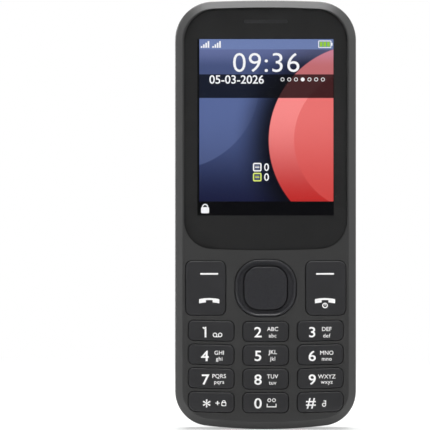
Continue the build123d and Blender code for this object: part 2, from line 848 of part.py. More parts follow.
# Card sockets: flat shells with a slot at the lower end
for word, middle_x, middle_y, length, height in (
    ("first_sim", -sim_spacing / 2, sim_middle, sim_length, sim_height),
    ("second_sim", sim_spacing / 2, sim_middle, sim_length, sim_height),
    ("memory_card", 0, memory_middle, memory_length, memory_height),
):
    with BuildPart() as card_socket:
        with BuildSketch(level(board_back + part_height)):
            with Locations((middle_x, middle_y)):
                Rectangle(length, height)
        extrude(amount=part_height)
        with BuildSketch(level(board_back + (part_height + card_slot) / 2)):
            with Locations((middle_x, middle_y - card_wall)):
                Rectangle(length - 2 * card_wall, height)
        extrude(amount=card_slot, mode=Mode.SUBTRACT)
    card_socket.part.label = f"{word}_socket"
    export_step(card_socket.part, f"parts/{word}_socket.step")

# Charging socket in the bottom end: shell with a contact tongue
with BuildPart() as usb_socket:
    with BuildSketch(bottom_end(usb_depth).offset(-usb_recess)):
        RectangleRounded(usb_width, usb_height, usb_height / 4)
    extrude(amount=-usb_length)
    with BuildSketch(bottom_end(usb_depth).offset(-usb_recess)):
        RectangleRounded(usb_width - 2 * usb_shell, usb_height - 2 * usb_shell, usb_height / 4 - usb_shell)
    extrude(amount=usb_shell * 2 - usb_length, mode=Mode.SUBTRACT)
    with BuildSketch(bottom_end(usb_depth).offset(-usb_recess - usb_length + usb_shell)):
        with Locations((0, usb_height / 8)):
            Rectangle(usb_tongue_width, usb_tongue_height)
    extrude(amount=usb_length - usb_shell * 4)
usb_socket.part.label = "usb_socket"
export_step(usb_socket.part, "parts/usb_socket.step")

# Headphone socket in the top end
with BuildPart() as headphone_socket:
    with BuildSketch(top_end(split_depth + jack_drop).offset(-jack_recess)):
        with Locations((-jack_x, 0)):
            Circle(jack_nose_radius)
    extrude(amount=-jack_nose_length)
    with BuildSketch(top_end(split_depth + jack_drop).offset(-jack_recess - jack_nose_length)):
        with Locations((-jack_x, 0)):
            RectangleRounded(jack_width, jack_height, jack_corner)
    extrude(amount=jack_nose_length - jack_length)
    with BuildSketch(top_end(split_depth + jack_drop).offset(-jack_recess)):
        with Locations((-jack_x, 0)):
            Circle(jack_bore_radius)
    extrude(amount=jack_end_wall - jack_length, mode=Mode.SUBTRACT)
headphone_socket.part.label = "headphone_socket"
export_step(headphone_socket.part, "parts/headphone_socket.step")

# Microphone behind a rubber boot that leads to the hole in the bottom end
microphone_y = microphone_lift - half_length
boot_bottom = side_wall + bottom_arch * (microphone_x / half_width) ** 2 + seat_gap * 3 - half_length
boot_top = microphone_y - microphone_width / 2
with BuildPart() as microphone:
    with BuildSketch(level(board_back + microphone_height)):
        with Locations((microphone_x, microphone_y)):
            RectangleRounded(microphone_length, microphone_width, microphone_corner)
    extrude(amount=microphone_height)
microphone.part.label = "microphone"
export_step(microphone.part, "parts/microphone.step")

with BuildPart() as microphone_boot:
    with BuildSketch(level(board_back + boot_height)):
        with Locations((microphone_x, (boot_bottom + boot_top) / 2)):
            RectangleRounded(boot_length, boot_top - boot_bottom, boot_corner)
    extrude(amount=boot_height)
    with BuildSketch(bottom_end(microphone_depth)):
        with Locations((microphone_x, 0)):
            Circle(sound_hole_radius * 0.8)
    extrude(amount=-microphone_lift, mode=Mode.SUBTRACT)
microphone_boot.part.label = "microphone_boot"
export_step(microphone_boot.part, "parts/microphone_boot.step")

# Chassis: floor plate with raised platforms, battery well and pockets
battery_x_room = battery_width + 2 * battery_gap
battery_y_room = battery_length + 2 * battery_gap
with BuildPart() as rear_chassis:
    with BuildSketch(level(floor_back)):
        add(grown(body_face, -chassis_inset))
        for side, height in tab_spots:
            with Locations((side * half_width, height)):
                Rectangle(2 * platform_inset, tab_length + 2 * port_gap, mode=Mode.SUBTRACT)
    extrude(amount=chassis_floor)
    with BuildSketch(level(chassis_back)):
        add(grown(body_face, -platform_inset))
        with Locations((0, battery_middle)):
            RectangleRounded(battery_x_room, battery_y_room, battery_corner, mode=Mode.SUBTRACT)
        with Locations((loudspeaker_x, loudspeaker_y)):
            RectangleRounded(
                loudspeaker_length + 2 * seat_gap,
                loudspeaker_width + 2 * seat_gap,
                loudspeaker_corner,
                mode=Mode.SUBTRACT,
            )
        with Locations((motor_x, motor_y)):
            Circle(motor_radius + seat_gap, mode=Mode.SUBTRACT)
        with Locations(*screw_spots):
            Circle(head_radius + seat_gap, mode=Mode.SUBTRACT)
        with Locations((0, half_length)):
            Rectangle(
                torch_led_width + 2 * port_gap,
                2 * (torch_led_drop + torch_led_length),
                mode=Mode.SUBTRACT,
            )
    extrude(amount=chassis_back - floor_back)
    with BuildSketch(level(floor_back)):
        with Locations((0, battery_middle)):
            Rectangle(battery_width - 2 * socket_window_margin, battery_length - 2 * socket_window_margin)
        with Locations(*screw_spots):
            Circle(screw_radius + seat_gap)
    extrude(amount=chassis_floor, mode=Mode.SUBTRACT)
    with BuildSketch(level(chassis_back)):
        with Locations((jack_x, half_length - jack_recess)):
            Rectangle(jack_width + 2 * port_gap, 2 * (jack_length + port_gap))
        with Locations((contact_x, contact_y - finger_room / 2)):
            Rectangle(contact_length + 2 * seat_gap, contact_width + 2 * seat_gap + finger_room)
    extrude(amount=chassis_back - chassis_front, mode=Mode.SUBTRACT)
    with BuildSketch(bottom_end(usb_depth)):
        Rectangle(usb_width + 2 * port_gap, usb_height + 2 * port_gap)
    extrude(amount=-usb_recess - usb_length - port_gap, mode=Mode.SUBTRACT)
rear_chassis.part.label = "rear_chassis"
export_step(rear_chassis.part, "parts/rear_chassis.step")

with BuildPart() as battery:
    with BuildSketch(level(battery_back)):
        with Locations((0, battery_middle)):
            RectangleRounded(battery_width, battery_length, battery_corner)
    extrude(amount=battery_back - battery_front)
    fillet(battery.faces().sort_by(Axis.Y)[-1].edges(), battery_edge)
    fillet(battery.faces().sort_by(Axis.Y)[0].edges(), battery_edge)
battery.part.label = "battery"
export_step(battery.part, "parts/battery.step")

# Battery contacts: block on the board with three spring fingers
with BuildPart() as battery_contacts:
    with BuildSketch(level(board_back + contact_height)):
        with Locations((contact_x, contact_y)):
            Rectangle(contact_length, contact_width)
    extrude(amount=contact_height)
    with BuildSketch(level(board_back + contact_height - finger_drop)):
        for step in (-1, 0, 1):
            with Locations((contact_x + step * contact_pitch, contact_y - contact_width / 2)):
                Rectangle(finger_width, finger_length)
    extrude(amount=finger_height)
battery_contacts.part.label = "battery_contacts"
export_step(battery_contacts.part, "parts/battery_contacts.step")

# Loudspeaker and the gasket that seals it to the cover
loudspeaker_back = floor_back + loudspeaker_thickness
with BuildPart() as loudspeaker:
    with BuildSketch(level(loudspeaker_back)):
        with Locations((loudspeaker_x, loudspeaker_y)):
            RectangleRounded(loudspeaker_length, loudspeaker_width, loudspeaker_corner)
    extrude(amount=loudspeaker_thickness)
    with BuildSketch(level(loudspeaker_back)):
        with Locations((loudspeaker_x, loudspeaker_y)):
            SlotOverall(loudspeaker_length - 2 * gasket_width, loudspeaker_width - 2 * gasket_width)
    extrude(amount=cone_depth, mode=Mode.SUBTRACT)
    with BuildSketch(level(loudspeaker_back - cone_set)):
        with Locations((loudspeaker_x, loudspeaker_y)):
            SlotOverall(loudspeaker_length - 5 * gasket_width, loudspeaker_width - 4 * gasket_width)
    extrude(amount=cone_depth)
loudspeaker.part.label = "loudspeaker"
export_step(loudspeaker.part, "parts/loudspeaker.step")

mesh_front = cover_inside - cover_mesh_thickness
with BuildPart() as loudspeaker_gasket:
    with BuildSketch(level(mesh_front - stack_gap)):
        with Locations((loudspeaker_x, loudspeaker_y)):
            RectangleRounded(loudspeaker_length, loudspeaker_width, loudspeaker_corner)
            SlotOverall(
                loudspeaker_length - 2 * gasket_width,
                loudspeaker_width - 2 * gasket_width,
                mode=Mode.SUBTRACT,
            )
    extrude(amount=mesh_front - stack_gap - loudspeaker_back)
loudspeaker_gasket.part.label = "loudspeaker_gasket"
export_step(loudspeaker_gasket.part, "parts/loudspeaker_gasket.step")

with BuildPart() as vibration_motor:
    with BuildSketch(level(floor_back + motor_thickness)):
        with Locations((motor_x, motor_y)):
            Circle(motor_radius)
    extrude(amount=motor_thickness)
    fillet(vibration_motor.faces().sort_by(Axis.Y)[-1].edges(), motor_edge)
vibration_motor.part.label = "vibration_motor"
export_step(vibration_motor.part, "parts/vibration_motor.step")

# Antenna: slotted plate on the lower platform
antenna_y = antenna_lift - half_length
with BuildPart() as antenna:
    with BuildSketch(level(chassis_back + antenna_thickness)):
        with Locations((0, antenna_y)):
            RectangleRounded(antenna_length, antenna_width, antenna_corner)
        for side in (-1, 1):
            with Locations((side * antenna_slot, antenna_y + side * antenna_width / 5)):
                Rectangle(antenna_length, antenna_slot, mode=Mode.SUBTRACT)
        with Locations((-antenna_length / 2, antenna_y), (antenna_length / 2, antenna_y)):
            Rectangle(antenna_slot * 3, antenna_width, mode=Mode.ADD)
        with Locations((-antenna_length / 2, antenna_y), (antenna_length / 2, antenna_y)):
            Rectangle(antenna_slot * 3, antenna_width / 5, mode=Mode.SUBTRACT)
    extrude(amount=antenna_thickness)
antenna.part.label = "antenna"
export_step(antenna.part, "parts/antenna.step")

with BuildPart() as torch_led:
    with BuildSketch(level(floor_back + torch_led_height)):
        with Locations((0, torch_led_y)):
            Rectangle(torch_led_width, torch_led_length)
    extrude(amount=torch_led_height)
torch_led.part.label = "torch_led"
export_step(torch_led.part, "parts/torch_led.step")

# Screws from the back of the chassis into the bosses, with cross recesses
with BuildPart() as housing_screws:
    with BuildSketch(level(floor_back + head_height)):
        with Locations(*screw_spots):
            Circle(head_radius)
    extrude(amount=head_height)
    with BuildSketch(level(floor_back)):
        with Locations(*screw_spots):
            Circle(screw_radius)
    extrude(amount=screw_length)
    with BuildSketch(level(floor_back + head_height)):
        with Locations(*screw_spots):
            Rectangle(head_radius * 1.2, head_radius / 4)
            Rectangle(head_radius / 4, head_radius * 1.2)
    extrude(amount=head_height / 2, mode=Mode.SUBTRACT)
housing_screws.part.label = "housing_screws"
export_step(housing_screws.part, "parts/housing_screws.step")

# Outer and inner skins of the rear cover
with BuildPart() as cover_skin:
    with BuildSketch(level(body_thickness)):
        add(body_face)
    extrude(amount=body_thickness - split_depth)
    fillet(cover_skin.faces().sort_by(Axis.Y)[-1].edges(), cover_round)
    chamfer(cover_skin.faces().sort_by(Axis.Y)[0].edges(), seam_break)

with BuildPart() as cover_core:
    with BuildSketch(level(cover_inside)):
        add(grown(body_face, -cover_wall))
    extrude(amount=cover_inside - split_depth)
    fillet(cover_core.faces().sort_by(Axis.Y)[-1].edges(), cover_round - cover_wall)

# Rear cover: shell with locating tabs, sound slots, torch hole and socket notches
with BuildPart() as rear_cover:
    add(cover_skin.part)
    add(cover_core.part, mode=Mode.SUBTRACT)
    with BuildSketch(level(split_depth + tab_reach)):
        for side, height in tab_spots:
            with Locations((side * (half_width - side_wall - seat_gap - tab_thickness / 2), height)):
                Rectangle(tab_thickness, tab_length)
    extrude(amount=tab_reach * 2)
    with BuildSketch(level(split_depth + tab_reach)):
        for side, height in tab_spots:
            with Locations((side * (half_width - cover_wall), height)):
                Rectangle(cover_wall, tab_length)
    extrude(amount=tab_reach - seat_gap)
    with BuildSketch(level(body_thickness)):
        for step in range(slot_count):
            with Locations((loudspeaker_x, loudspeaker_y + (step - (slot_count - 1) / 2) * slot_pitch)):
                SlotOverall(slot_length, slot_width)
    extrude(amount=cover_wall, mode=Mode.SUBTRACT)
    with BuildSketch(top_end(torch_depth)):
        Circle(torch_radius)
    extrude(amount=-2 * cover_wall - 2 * seat_gap, mode=Mode.SUBTRACT)
    with BuildSketch(bottom_end(usb_depth)):
        RectangleRounded(usb_width + 2 * port_gap, usb_height + 2 * port_gap, usb_height / 2.5)
    extrude(amount=-usb_length, mode=Mode.SUBTRACT)
    with BuildSketch(top_end(split_depth + jack_drop)):
        with Locations((-jack_x, 0)):
            Circle(jack_nose_radius + port_gap)
    extrude(amount=-jack_nose_length, mode=Mode.SUBTRACT)
rear_cover.part.label = "rear_cover"
export_step(rear_cover.part, "parts/rear_cover.step")

with BuildPart() as torch_lens:
    with BuildSketch(top_end(torch_depth)):
        Circle(torch_radius)
    extrude(amount=-cover_wall - 3 * seat_gap)
    add(cover_skin.part, mode=Mode.INTERSECT)
torch_lens.part.label = "torch_lens"
export_step(torch_lens.part, "parts/torch_lens.step")

with BuildPart() as cover_mesh:
    with BuildSketch(level(cover_inside)):
        with Locations((loudspeaker_x, loudspeaker_y)):
            RectangleRounded(loudspeaker_length, loudspeaker_width, loudspeaker_corner)
    extrude(amount=cover_mesh_thickness)
cover_mesh.part.label = "cover_mesh"
export_step(cover_mesh.part, "parts/cover_mesh.step")
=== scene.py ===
import math

import bmesh
import bpy
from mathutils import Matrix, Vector


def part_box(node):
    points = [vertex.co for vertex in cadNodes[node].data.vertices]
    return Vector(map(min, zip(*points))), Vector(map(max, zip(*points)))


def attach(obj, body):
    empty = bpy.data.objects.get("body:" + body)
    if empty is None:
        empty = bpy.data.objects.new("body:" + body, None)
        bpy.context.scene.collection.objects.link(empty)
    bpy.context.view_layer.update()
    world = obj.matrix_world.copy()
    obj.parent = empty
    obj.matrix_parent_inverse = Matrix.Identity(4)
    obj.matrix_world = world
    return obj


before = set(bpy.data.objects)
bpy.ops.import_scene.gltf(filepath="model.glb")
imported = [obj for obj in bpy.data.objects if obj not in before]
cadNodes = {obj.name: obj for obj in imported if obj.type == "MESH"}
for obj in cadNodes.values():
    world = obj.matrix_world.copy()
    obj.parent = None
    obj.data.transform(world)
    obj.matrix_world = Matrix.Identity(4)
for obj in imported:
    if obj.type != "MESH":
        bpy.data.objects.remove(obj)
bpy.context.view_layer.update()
mm = 0.001
print("frame loaded:", len(cadNodes), "nodes")


# Selecting and placing
def objectMode():
    bpy.ops.object.mode_set(mode="OBJECT")


def deselectAll():
    if bpy.context.object and bpy.context.object.mode != "OBJECT":
        objectMode()
    bpy.ops.object.select_all(action="DESELECT")


def pickOnly(piece):
    deselectAll()
    piece.select_set(True)
    bpy.context.view_layer.objects.active = piece


def editMode(piece, mode="FACE"):
    pickOnly(piece)
    bpy.ops.object.mode_set(mode="EDIT")
    bpy.ops.mesh.select_mode(type=mode)
    bpy.ops.mesh.select_all(action="SELECT")


def selectWhere(piece, kind, wanted):  # picks vertices or edges of the edited mesh by place
    mesh = bmesh.from_edit_mesh(piece.data)
    for group in (mesh.verts, mesh.edges, mesh.faces):
        for item in group:
            item.select = False
    for item in getattr(mesh, kind):
        middle = item.co if kind == "verts" else (item.verts[0].co + item.verts[1].co) / 2
        if wanted(middle):
            item.select = True
    mesh.select_flush_mode()
    bmesh.update_edit_mesh(piece.data)


def settle(piece):  # place, turn and size go into the mesh
    pickOnly(piece)
    bpy.ops.object.transform_apply(location=True, rotation=True, scale=True)
    return piece


def applyModifier(piece, kind, **settings):
    pickOnly(piece)
    modifier = piece.modifiers.new(kind.lower(), kind)
    for key, value in settings.items():
        setattr(modifier, key, value)
    bpy.ops.object.modifier_apply(modifier=modifier.name)


def joinPieces(name, pieces):
    deselectAll()
    for piece in pieces:
        piece.select_set(True)
    bpy.context.view_layer.objects.active = pieces[0]
    if len(pieces) > 1:
        bpy.ops.object.join()
    joined = bpy.context.object
    joined.name = name
    joined.data.name = name
    return joined


def paint(piece, material):
    piece.data.materials.clear()
    piece.data.materials.append(material)


# Flat shapes, drawn upright and facing the viewer: x to the right, z up, at depth y
uprightTurn = (math.pi / 2, 0, 0)
cornerSteps = 4
cutSlack = 0.0005 * mm  # a cut takes points this near to its plane as lying on it


def flatBar(x, z, y, width, height, corner=0.0):
    deselectAll()
    bpy.ops.mesh.primitive_plane_add(size=1, location=(x, y, z), rotation=uprightTurn)
    piece = bpy.context.object
    piece.scale = (width, height, 1)
    settle(piece)
    if corner:
        editMode(piece, "VERT")
        bpy.ops.mesh.bevel(offset=corner, segments=cornerSteps, affect="VERTICES", clamp_overlap=True)
        objectMode()
    return piece


def flatDisc(x, z, y, radius, steps=20, fill="TRIFAN"):
    deselectAll()
    bpy.ops.mesh.primitive_circle_add(
        vertices=steps, radius=radius, fill_type=fill, location=(x, y, z), rotation=uprightTurn)
    return settle(bpy.context.object)


def hollow(piece, stroke):  # leaves only the rim of a flat shape
    editMode(piece)
    bpy.ops.mesh.inset(thickness=stroke, depth=0)
    bpy.ops.mesh.delete(type="FACE")
    objectMode()
    return piece


def flatRing(x, z, y, radius, stroke, steps=28):
    return hollow(flatDisc(x, z, y, radius, steps, "NGON"), stroke)


def flatFrame(x, z, y, width, height, corner, stroke):
    return hollow(flatBar(x, z, y, width, height, corner), stroke)


def keepUpper(piece, z):  # cuts away what is under a height
    editMode(piece)
    bpy.ops.mesh.bisect(plane_co=(0, 0, z), plane_no=(0, 0, 1), clear_inner=True, threshold=cutSlack)
    objectMode()
    return piece


def tilt(piece, x, z, angle):  # turns a flat shape in its own plane
    editMode(piece)
    bpy.ops.transform.rotate(value=angle, orient_axis="Y", center_override=(x, 0, z))
    objectMode()
    return piece


def thicken(piece, amount, sink=0.0):  # gives a flat print its body, towards the viewer
    applyModifier(piece, "SOLIDIFY", thickness=amount, offset=1.0, use_even_offset=False)
    if sink:
        editMode(piece)
        bpy.ops.transform.translate(value=(0, sink, 0))
        objectMode()


textLook = {
    "capHeight": 0.73,  # of capitals and figures at a text size of 1
    "curveSteps": 4,
    "mergeGap": 0.006,  # points nearer than this become one, at a text size of 1
    "sharpLimit": 0.2,  # keeps the move of a very sharp corner short
    "doubleGap": 0.001 * mm,
}


def embolden(piece, amount, look):  # moves the outline of a flat text outwards and keeps its corners
    mesh = bmesh.new()
    mesh.from_mesh(piece.data)
    bmesh.ops.remove_doubles(mesh, verts=mesh.verts, dist=look["mergeGap"])
    moves = []
    for vertex in mesh.verts:
        outward = []
        for edge in vertex.link_edges:
            if edge.is_boundary:
                loop = edge.link_loops[0]
                along = loop.link_loop_next.vert.co - loop.vert.co
                outward.append(along.cross(Vector((0, 0, 1))).normalized())
        if len(outward) == 2:
            first, second = outward
            opening = max(1 + first.dot(second), look["sharpLimit"])
            moves.append((vertex, (first + second) * amount / opening))
    for vertex, move in moves:
        vertex.co += move
    mesh.to_mesh(piece.data)
    mesh.free()


def flatText(words, x, z, y, height, bold, spacing=1.0, stretch=1.0):
    deselectAll()
    bpy.ops.object.text_add(location=(0, 0, 0))
    text = bpy.context.object
    text.data.body = words
    text.data.size = 1
    text.data.space_character = spacing
    text.data.resolution_u = textLook["curveSteps"]
    bpy.ops.object.convert(target="MESH")
    piece = bpy.context.object
    embolden(piece, bold, textLook)
    bpy.ops.object.origin_set(type="ORIGIN_GEOMETRY", center="BOUNDS")
    size = height / textLook["capHeight"]
    piece.scale = (size * stretch, size, size)
    piece.rotation_euler = uprightTurn
    piece.location = (x, y, z)
    settle(piece)
    editMode(piece)
    bpy.ops.mesh.remove_doubles(threshold=textLook["doubleGap"])
    objectMode()
    return piece


# Material tools
def tone(red, green, blue):  # a screen colour as Blender's linear one, by the sRGB curve
    def linear(value):
        share = value / 255
        return share / 12.92 if share <= 0.04045 else ((share + 0.055) / 1.055) ** 2.4
    return (linear(red), linear(green), linear(blue), 1.0)


def shaded(colour, share):
    return tuple(min(1.0, part * share) for part in colour[:3]) + (1.0,)


def startMaterial(name):
    material = bpy.data.materials.new(name)
    material.use_nodes = True
    return material, material.node_tree, material.node_tree.nodes["Principled BSDF"]


def setInputs(node, values):
    for name, value in values.items():
        node.inputs[name].default_value = value


def wire(tree, socket, value):
    if isinstance(value, bpy.types.NodeSocket):
        tree.links.new(value, socket)
    else:
        socket.default_value = value


def calc(tree, operation, *values):
    node = tree.nodes.new("ShaderNodeMath")
    node.operation = operation
    for socket, value in zip(node.inputs, values):
        wire(tree, socket, value)
    return node.outputs[0]


def mapped(tree, kind, *values):
    node = tree.nodes.new("ShaderNodeMapRange")
    node.interpolation_type = kind
    for socket, value in zip(node.inputs, values):
        wire(tree, socket, value)
    return node.outputs[0]


def fade(tree, value, low, high):  # 0 at low, 1 at high, soft at both
    return mapped(tree, "SMOOTHSTEP", value, low, high, 0.0, 1.0)


noiseLow, noiseHigh = 0.3, 0.7  # most of a noise lies between these


def span(tree, noise, low, high):  # spreads a noise between two values
    return mapped(tree, "LINEAR", noise, noiseLow, noiseHigh, low, high)


def blendTone(tree, share, first, second):
    node = tree.nodes.new("ShaderNodeMix")
    node.data_type = "RGBA"
    for index, value in ((0, share), (6, first), (7, second)):  # the colour mix's own sockets
        wire(tree, node.inputs[index], value)
    return node.outputs[2]


def overlay(tree, under, over, share, amount):  # lays a tone over another at part strength
    return blendTone(tree, calc(tree, "MULTIPLY", share, amount), under, over)


def objectPoint(tree, stretch=None, turn=None):
    point = tree.nodes.new("ShaderNodeTexCoord").outputs["Object"]
    if stretch is None and turn is None:
        return point
    mapping = tree.nodes.new("ShaderNodeMapping")
    mapping.inputs["Scale"].default_value = stretch or (1, 1, 1)
    mapping.inputs["Rotation"].default_value = turn or (0, 0, 0)
    tree.links.new(point, mapping.inputs["Vector"])
    return mapping.outputs[0]


def splitPoint(tree, point):  # X, Y and Z of a place or direction
    parts = tree.nodes.new("ShaderNodeSeparateXYZ")
    tree.links.new(point, parts.inputs[0])
    return parts.outputs


def grain(tree, size, detail=2.0, point=None):  # noise whose lumps are about that size
    node = tree.nodes.new("ShaderNodeTexNoise")
    node.inputs["Scale"].default_value = 1 / size
    node.inputs["Detail"].default_value = detail
    tree.links.new(point or objectPoint(tree), node.inputs["Vector"])
    return node.outputs[0]


def relief(tree, shader, height, depth):
    node = tree.nodes.new("ShaderNodeBump")
    node.inputs["Distance"].default_value = depth
    tree.links.new(height, node.inputs["Height"])
    tree.links.new(node.outputs[0], shader.inputs["Normal"])


def mixSurface(tree, share, first, second):
    mixer = tree.nodes.new("ShaderNodeMixShader")
    wire(tree, mixer.inputs[0], share)
    tree.links.new(first.outputs[0], mixer.inputs[1])
    tree.links.new(second.outputs[0], mixer.inputs[2])
    tree.links.new(mixer.outputs[0], tree.nodes["Material Output"].inputs["Surface"])


def lightPath(tree):  # ray kinds, and a share of 1 for mirrored or refracted rays
    rays = tree.nodes.new("ShaderNodeLightPath").outputs
    return rays, calc(tree, "MAXIMUM", rays["Is Glossy Ray"], rays["Is Transmission Ray"])


mouldMix = {"detail": 3.0, "fine": 0.45, "broad": 0.55, "from": 0.35, "to": 0.65, "specular": 0.5}


def moulded(name, look):  # grained plastic, foam or rubber
    material, tree, shader = startMaterial(name)
    fine = grain(tree, look["grainSize"], mouldMix["detail"])
    broad = grain(tree, look["driftSize"], mouldMix["detail"])
    mixed = calc(tree, "ADD", calc(tree, "MULTIPLY", fine, mouldMix["fine"]),
                 calc(tree, "MULTIPLY", broad, mouldMix["broad"]))
    dark, pale = (shaded(look["colour"], 1 + side * look["drift"]) for side in (-1, 1))
    share = fade(tree, mixed, mouldMix["from"], mouldMix["to"])
    wire(tree, shader.inputs["Base Color"], blendTone(tree, share, dark, pale))
    wire(tree, shader.inputs["Roughness"], span(tree, fine, *look["gloss"]))
    setInputs(shader, {"Specular IOR Level": look.get("specular", mouldMix["specular"])})
    relief(tree, shader, fine, look["grainDepth"])
    return material


metalMix = {"lineDetail": 3.0, "from": 0.3, "to": 0.7, "dark": 0.88, "pale": 1.08}


def metal(name, look):  # rolled or drawn sheet with fine lines along one way
    material, tree, shader = startMaterial(name)
    lines = grain(tree, look["lineSize"], metalMix["lineDetail"], objectPoint(tree, look["lineStretch"]))
    share = fade(tree, grain(tree, look["driftSize"]), metalMix["from"], metalMix["to"])
    dark, pale = (shaded(look["colour"], metalMix[side]) for side in ("dark", "pale"))
    wire(tree, shader.inputs["Base Color"], blendTone(tree, share, dark, pale))
    wire(tree, shader.inputs["Roughness"], span(tree, lines, *look["gloss"]))
    setInputs(shader, {"Metallic": 1.0})
    relief(tree, shader, lines, look["lineDepth"])
    return material


# Finishes of the outer pieces
shellLook = {"colour": tone(58, 58, 58), "drift": 0.05, "driftSize": 14 * mm, "grainSize": 0.16 * mm,
             "grainDepth": 0.006 * mm, "gloss": (0.40, 0.50)}
coverLook = {"colour": tone(42, 41, 46), "drift": 0.05, "driftSize": 16 * mm, "grainSize": 0.2 * mm,
             "grainDepth": 0.008 * mm, "gloss": (0.48, 0.58)}
keyLook = {"colour": tone(50, 50, 52), "drift": 0.04, "driftSize": 8 * mm, "grainSize": 0.12 * mm,
           "grainDepth": 0.003 * mm, "gloss": (0.36, 0.44)}
navLook = {"colour": tone(50, 50, 53), "drift": 0.04, "driftSize": 6 * mm, "grainSize": 0.1 * mm,
           "grainDepth": 0.0015 * mm, "gloss": (0.24, 0.32)}
inkLook = {"colour": tone(252, 252, 251), "drift": 0.03, "driftSize": 2 * mm, "grainSize": 0.08 * mm,
           "grainDepth": 0.002 * mm, "gloss": (0.45, 0.6)}
tapeLook = {"colour": tone(42, 42, 42), "drift": 0.06, "driftSize": 9 * mm, "grainSize": 0.15 * mm,
            "grainDepth": 0.001 * mm, "gloss": (0.5, 0.6), "specular": 0.2}

# Finishes of what shows when the cover is off, or through a gap
chassisLook = {"colour": tone(40, 40, 42), "drift": 0.06, "driftSize": 12 * mm, "grainSize": 0.25 * mm,
               "grainDepth": 0.012 * mm, "gloss": (0.45, 0.6)}
socketLook = {"colour": tone(26, 26, 27), "drift": 0.06, "driftSize": 4 * mm, "grainSize": 0.1 * mm,
              "grainDepth": 0.003 * mm, "gloss": (0.35, 0.5)}
foamLook = {"colour": tone(30, 30, 31), "drift": 0.2, "driftSize": 1.2 * mm, "grainSize": 0.14 * mm,
            "grainDepth": 0.05 * mm, "gloss": (0.85, 0.98), "specular": 0.15}
siliconeLook = {"colour": tone(150, 150, 152), "drift": 0.06, "driftSize": 5 * mm, "grainSize": 0.3 * mm,
                "grainDepth": 0.004 * mm, "gloss": (0.5, 0.62)}
domeLook = {"colour": tone(205, 206, 202), "drift": 0.05, "driftSize": 4 * mm, "grainSize": 0.2 * mm,
            "grainDepth": 0.003 * mm, "gloss": (0.3, 0.45)}
reflectorLook = {"colour": tone(222, 224, 226), "drift": 0.03, "driftSize": 8 * mm, "grainSize": 0.2 * mm,
                 "grainDepth": 0.003 * mm, "gloss": (0.35, 0.5)}
ribbonLook = {"colour": tone(168, 96, 24), "drift": 0.14, "driftSize": 1.6 * mm, "grainSize": 0.2 * mm,
              "grainDepth": 0.004 * mm, "gloss": (0.25, 0.4)}
lightLook = {"colour": tone(236, 226, 150), "drift": 0.06, "driftSize": 0.8 * mm, "grainSize": 0.1 * mm,
             "grainDepth": 0.003 * mm, "gloss": (0.2, 0.35)}
speakerLook = {"colour": tone(34, 34, 36), "drift": 0.12, "driftSize": 2.5 * mm, "grainSize": 0.12 * mm,
               "grainDepth": 0.012 * mm, "gloss": (0.4, 0.6)}
canLook = {"colour": tone(190, 190, 188), "driftSize": 4 * mm, "lineSize": 0.25 * mm,
           "lineStretch": (0.08, 1, 1), "lineDepth": 0.003 * mm, "gloss": (0.25, 0.42)}
nickelLook = {"colour": tone(200, 198, 192), "driftSize": 2 * mm, "lineSize": 0.2 * mm,
              "lineStretch": (1, 1, 0.1), "lineDepth": 0.002 * mm, "gloss": (0.18, 0.32)}
screwLook = {"colour": tone(120, 120, 122), "driftSize": 0.8 * mm, "lineSize": 0.1 * mm,
             "lineStretch": (1, 0.2, 1), "lineDepth": 0.003 * mm, "gloss": (0.28, 0.45)}
goldLook = {"colour": tone(214, 172, 96), "driftSize": 8 * mm, "lineSize": 0.05 * mm,
            "lineStretch": (1, 1, 1), "lineDepth": 0.0006 * mm, "gloss": (0.34, 0.4)}

windowLook = {"tint": (0.96, 0.965, 0.97, 1), "smearSize": 7 * mm, "smearDetail": 4.0, "smearShade": 0.97,
              "gloss": (0.0, 0.04), "ior": 1.25}
lensLook = {"tint": (0.9, 0.92, 0.94, 1), "smearSize": 1 * mm, "smearDetail": 4.0, "smearShade": 0.97,
            "gloss": (0.05, 0.15), "ior": 1.45}


def clearPlastic(name, look):  # polished see-through piece with faint smears
    material, tree, shader = startMaterial(name)
    smear = grain(tree, look["smearSize"], look["smearDetail"])
    smeared = shaded(look["tint"], look["smearShade"])
    wire(tree, shader.inputs["Base Color"], blendTone(tree, smear, look["tint"], smeared))
    wire(tree, shader.inputs["Roughness"], span(tree, smear, *look["gloss"]))
    setInputs(shader, {"IOR": look["ior"], "Transmission Weight": 1.0})
    rays = tree.nodes.new("ShaderNodeLightPath").outputs  # lamps reach what lies behind
    passing = calc(tree, "MAXIMUM", rays["Is Shadow Ray"], rays["Is Diffuse Ray"])
    mixSurface(tree, passing, shader, tree.nodes.new("ShaderNodeBsdfTransparent"))
    return material


# the hole colour is painted shade: near-black where the dark space behind the cloth would show
meshLook = {"pitch": 0.32 * mm, "hole": (0.004, 0.004, 0.004, 1), "wire": tone(88, 88, 90), "from": 0.1,
            "to": 0.8, "gloss": (0.38, 0.55), "metallic": 0.8, "depth": 0.05 * mm}


def wovenMesh(name, look):  # wire cloth over a sound opening, its holes painted near-black as painted shade of the space behind
    material, tree, shader = startMaterial(name)
    parts = splitPoint(tree, objectPoint(tree))
    step = 2 * math.pi / look["pitch"]
    across, upward = (calc(tree, "SINE", calc(tree, "MULTIPLY", parts[axis], step)) for axis in "XZ")
    weave = calc(tree, "MAXIMUM", across, upward)
    wireShare = fade(tree, weave, look["from"], look["to"])
    # between the wires the colour goes to the painted shade of the holes
    wire(tree, shader.inputs["Base Color"], blendTone(tree, wireShare, look["hole"], look["wire"]))
    wire(tree, shader.inputs["Roughness"], span(tree, grain(tree, look["pitch"]), *look["gloss"]))
    wire(tree, shader.inputs["Metallic"], calc(tree, "MULTIPLY", wireShare, look["metallic"]))
    relief(tree, shader, weave, look["depth"])
    return material


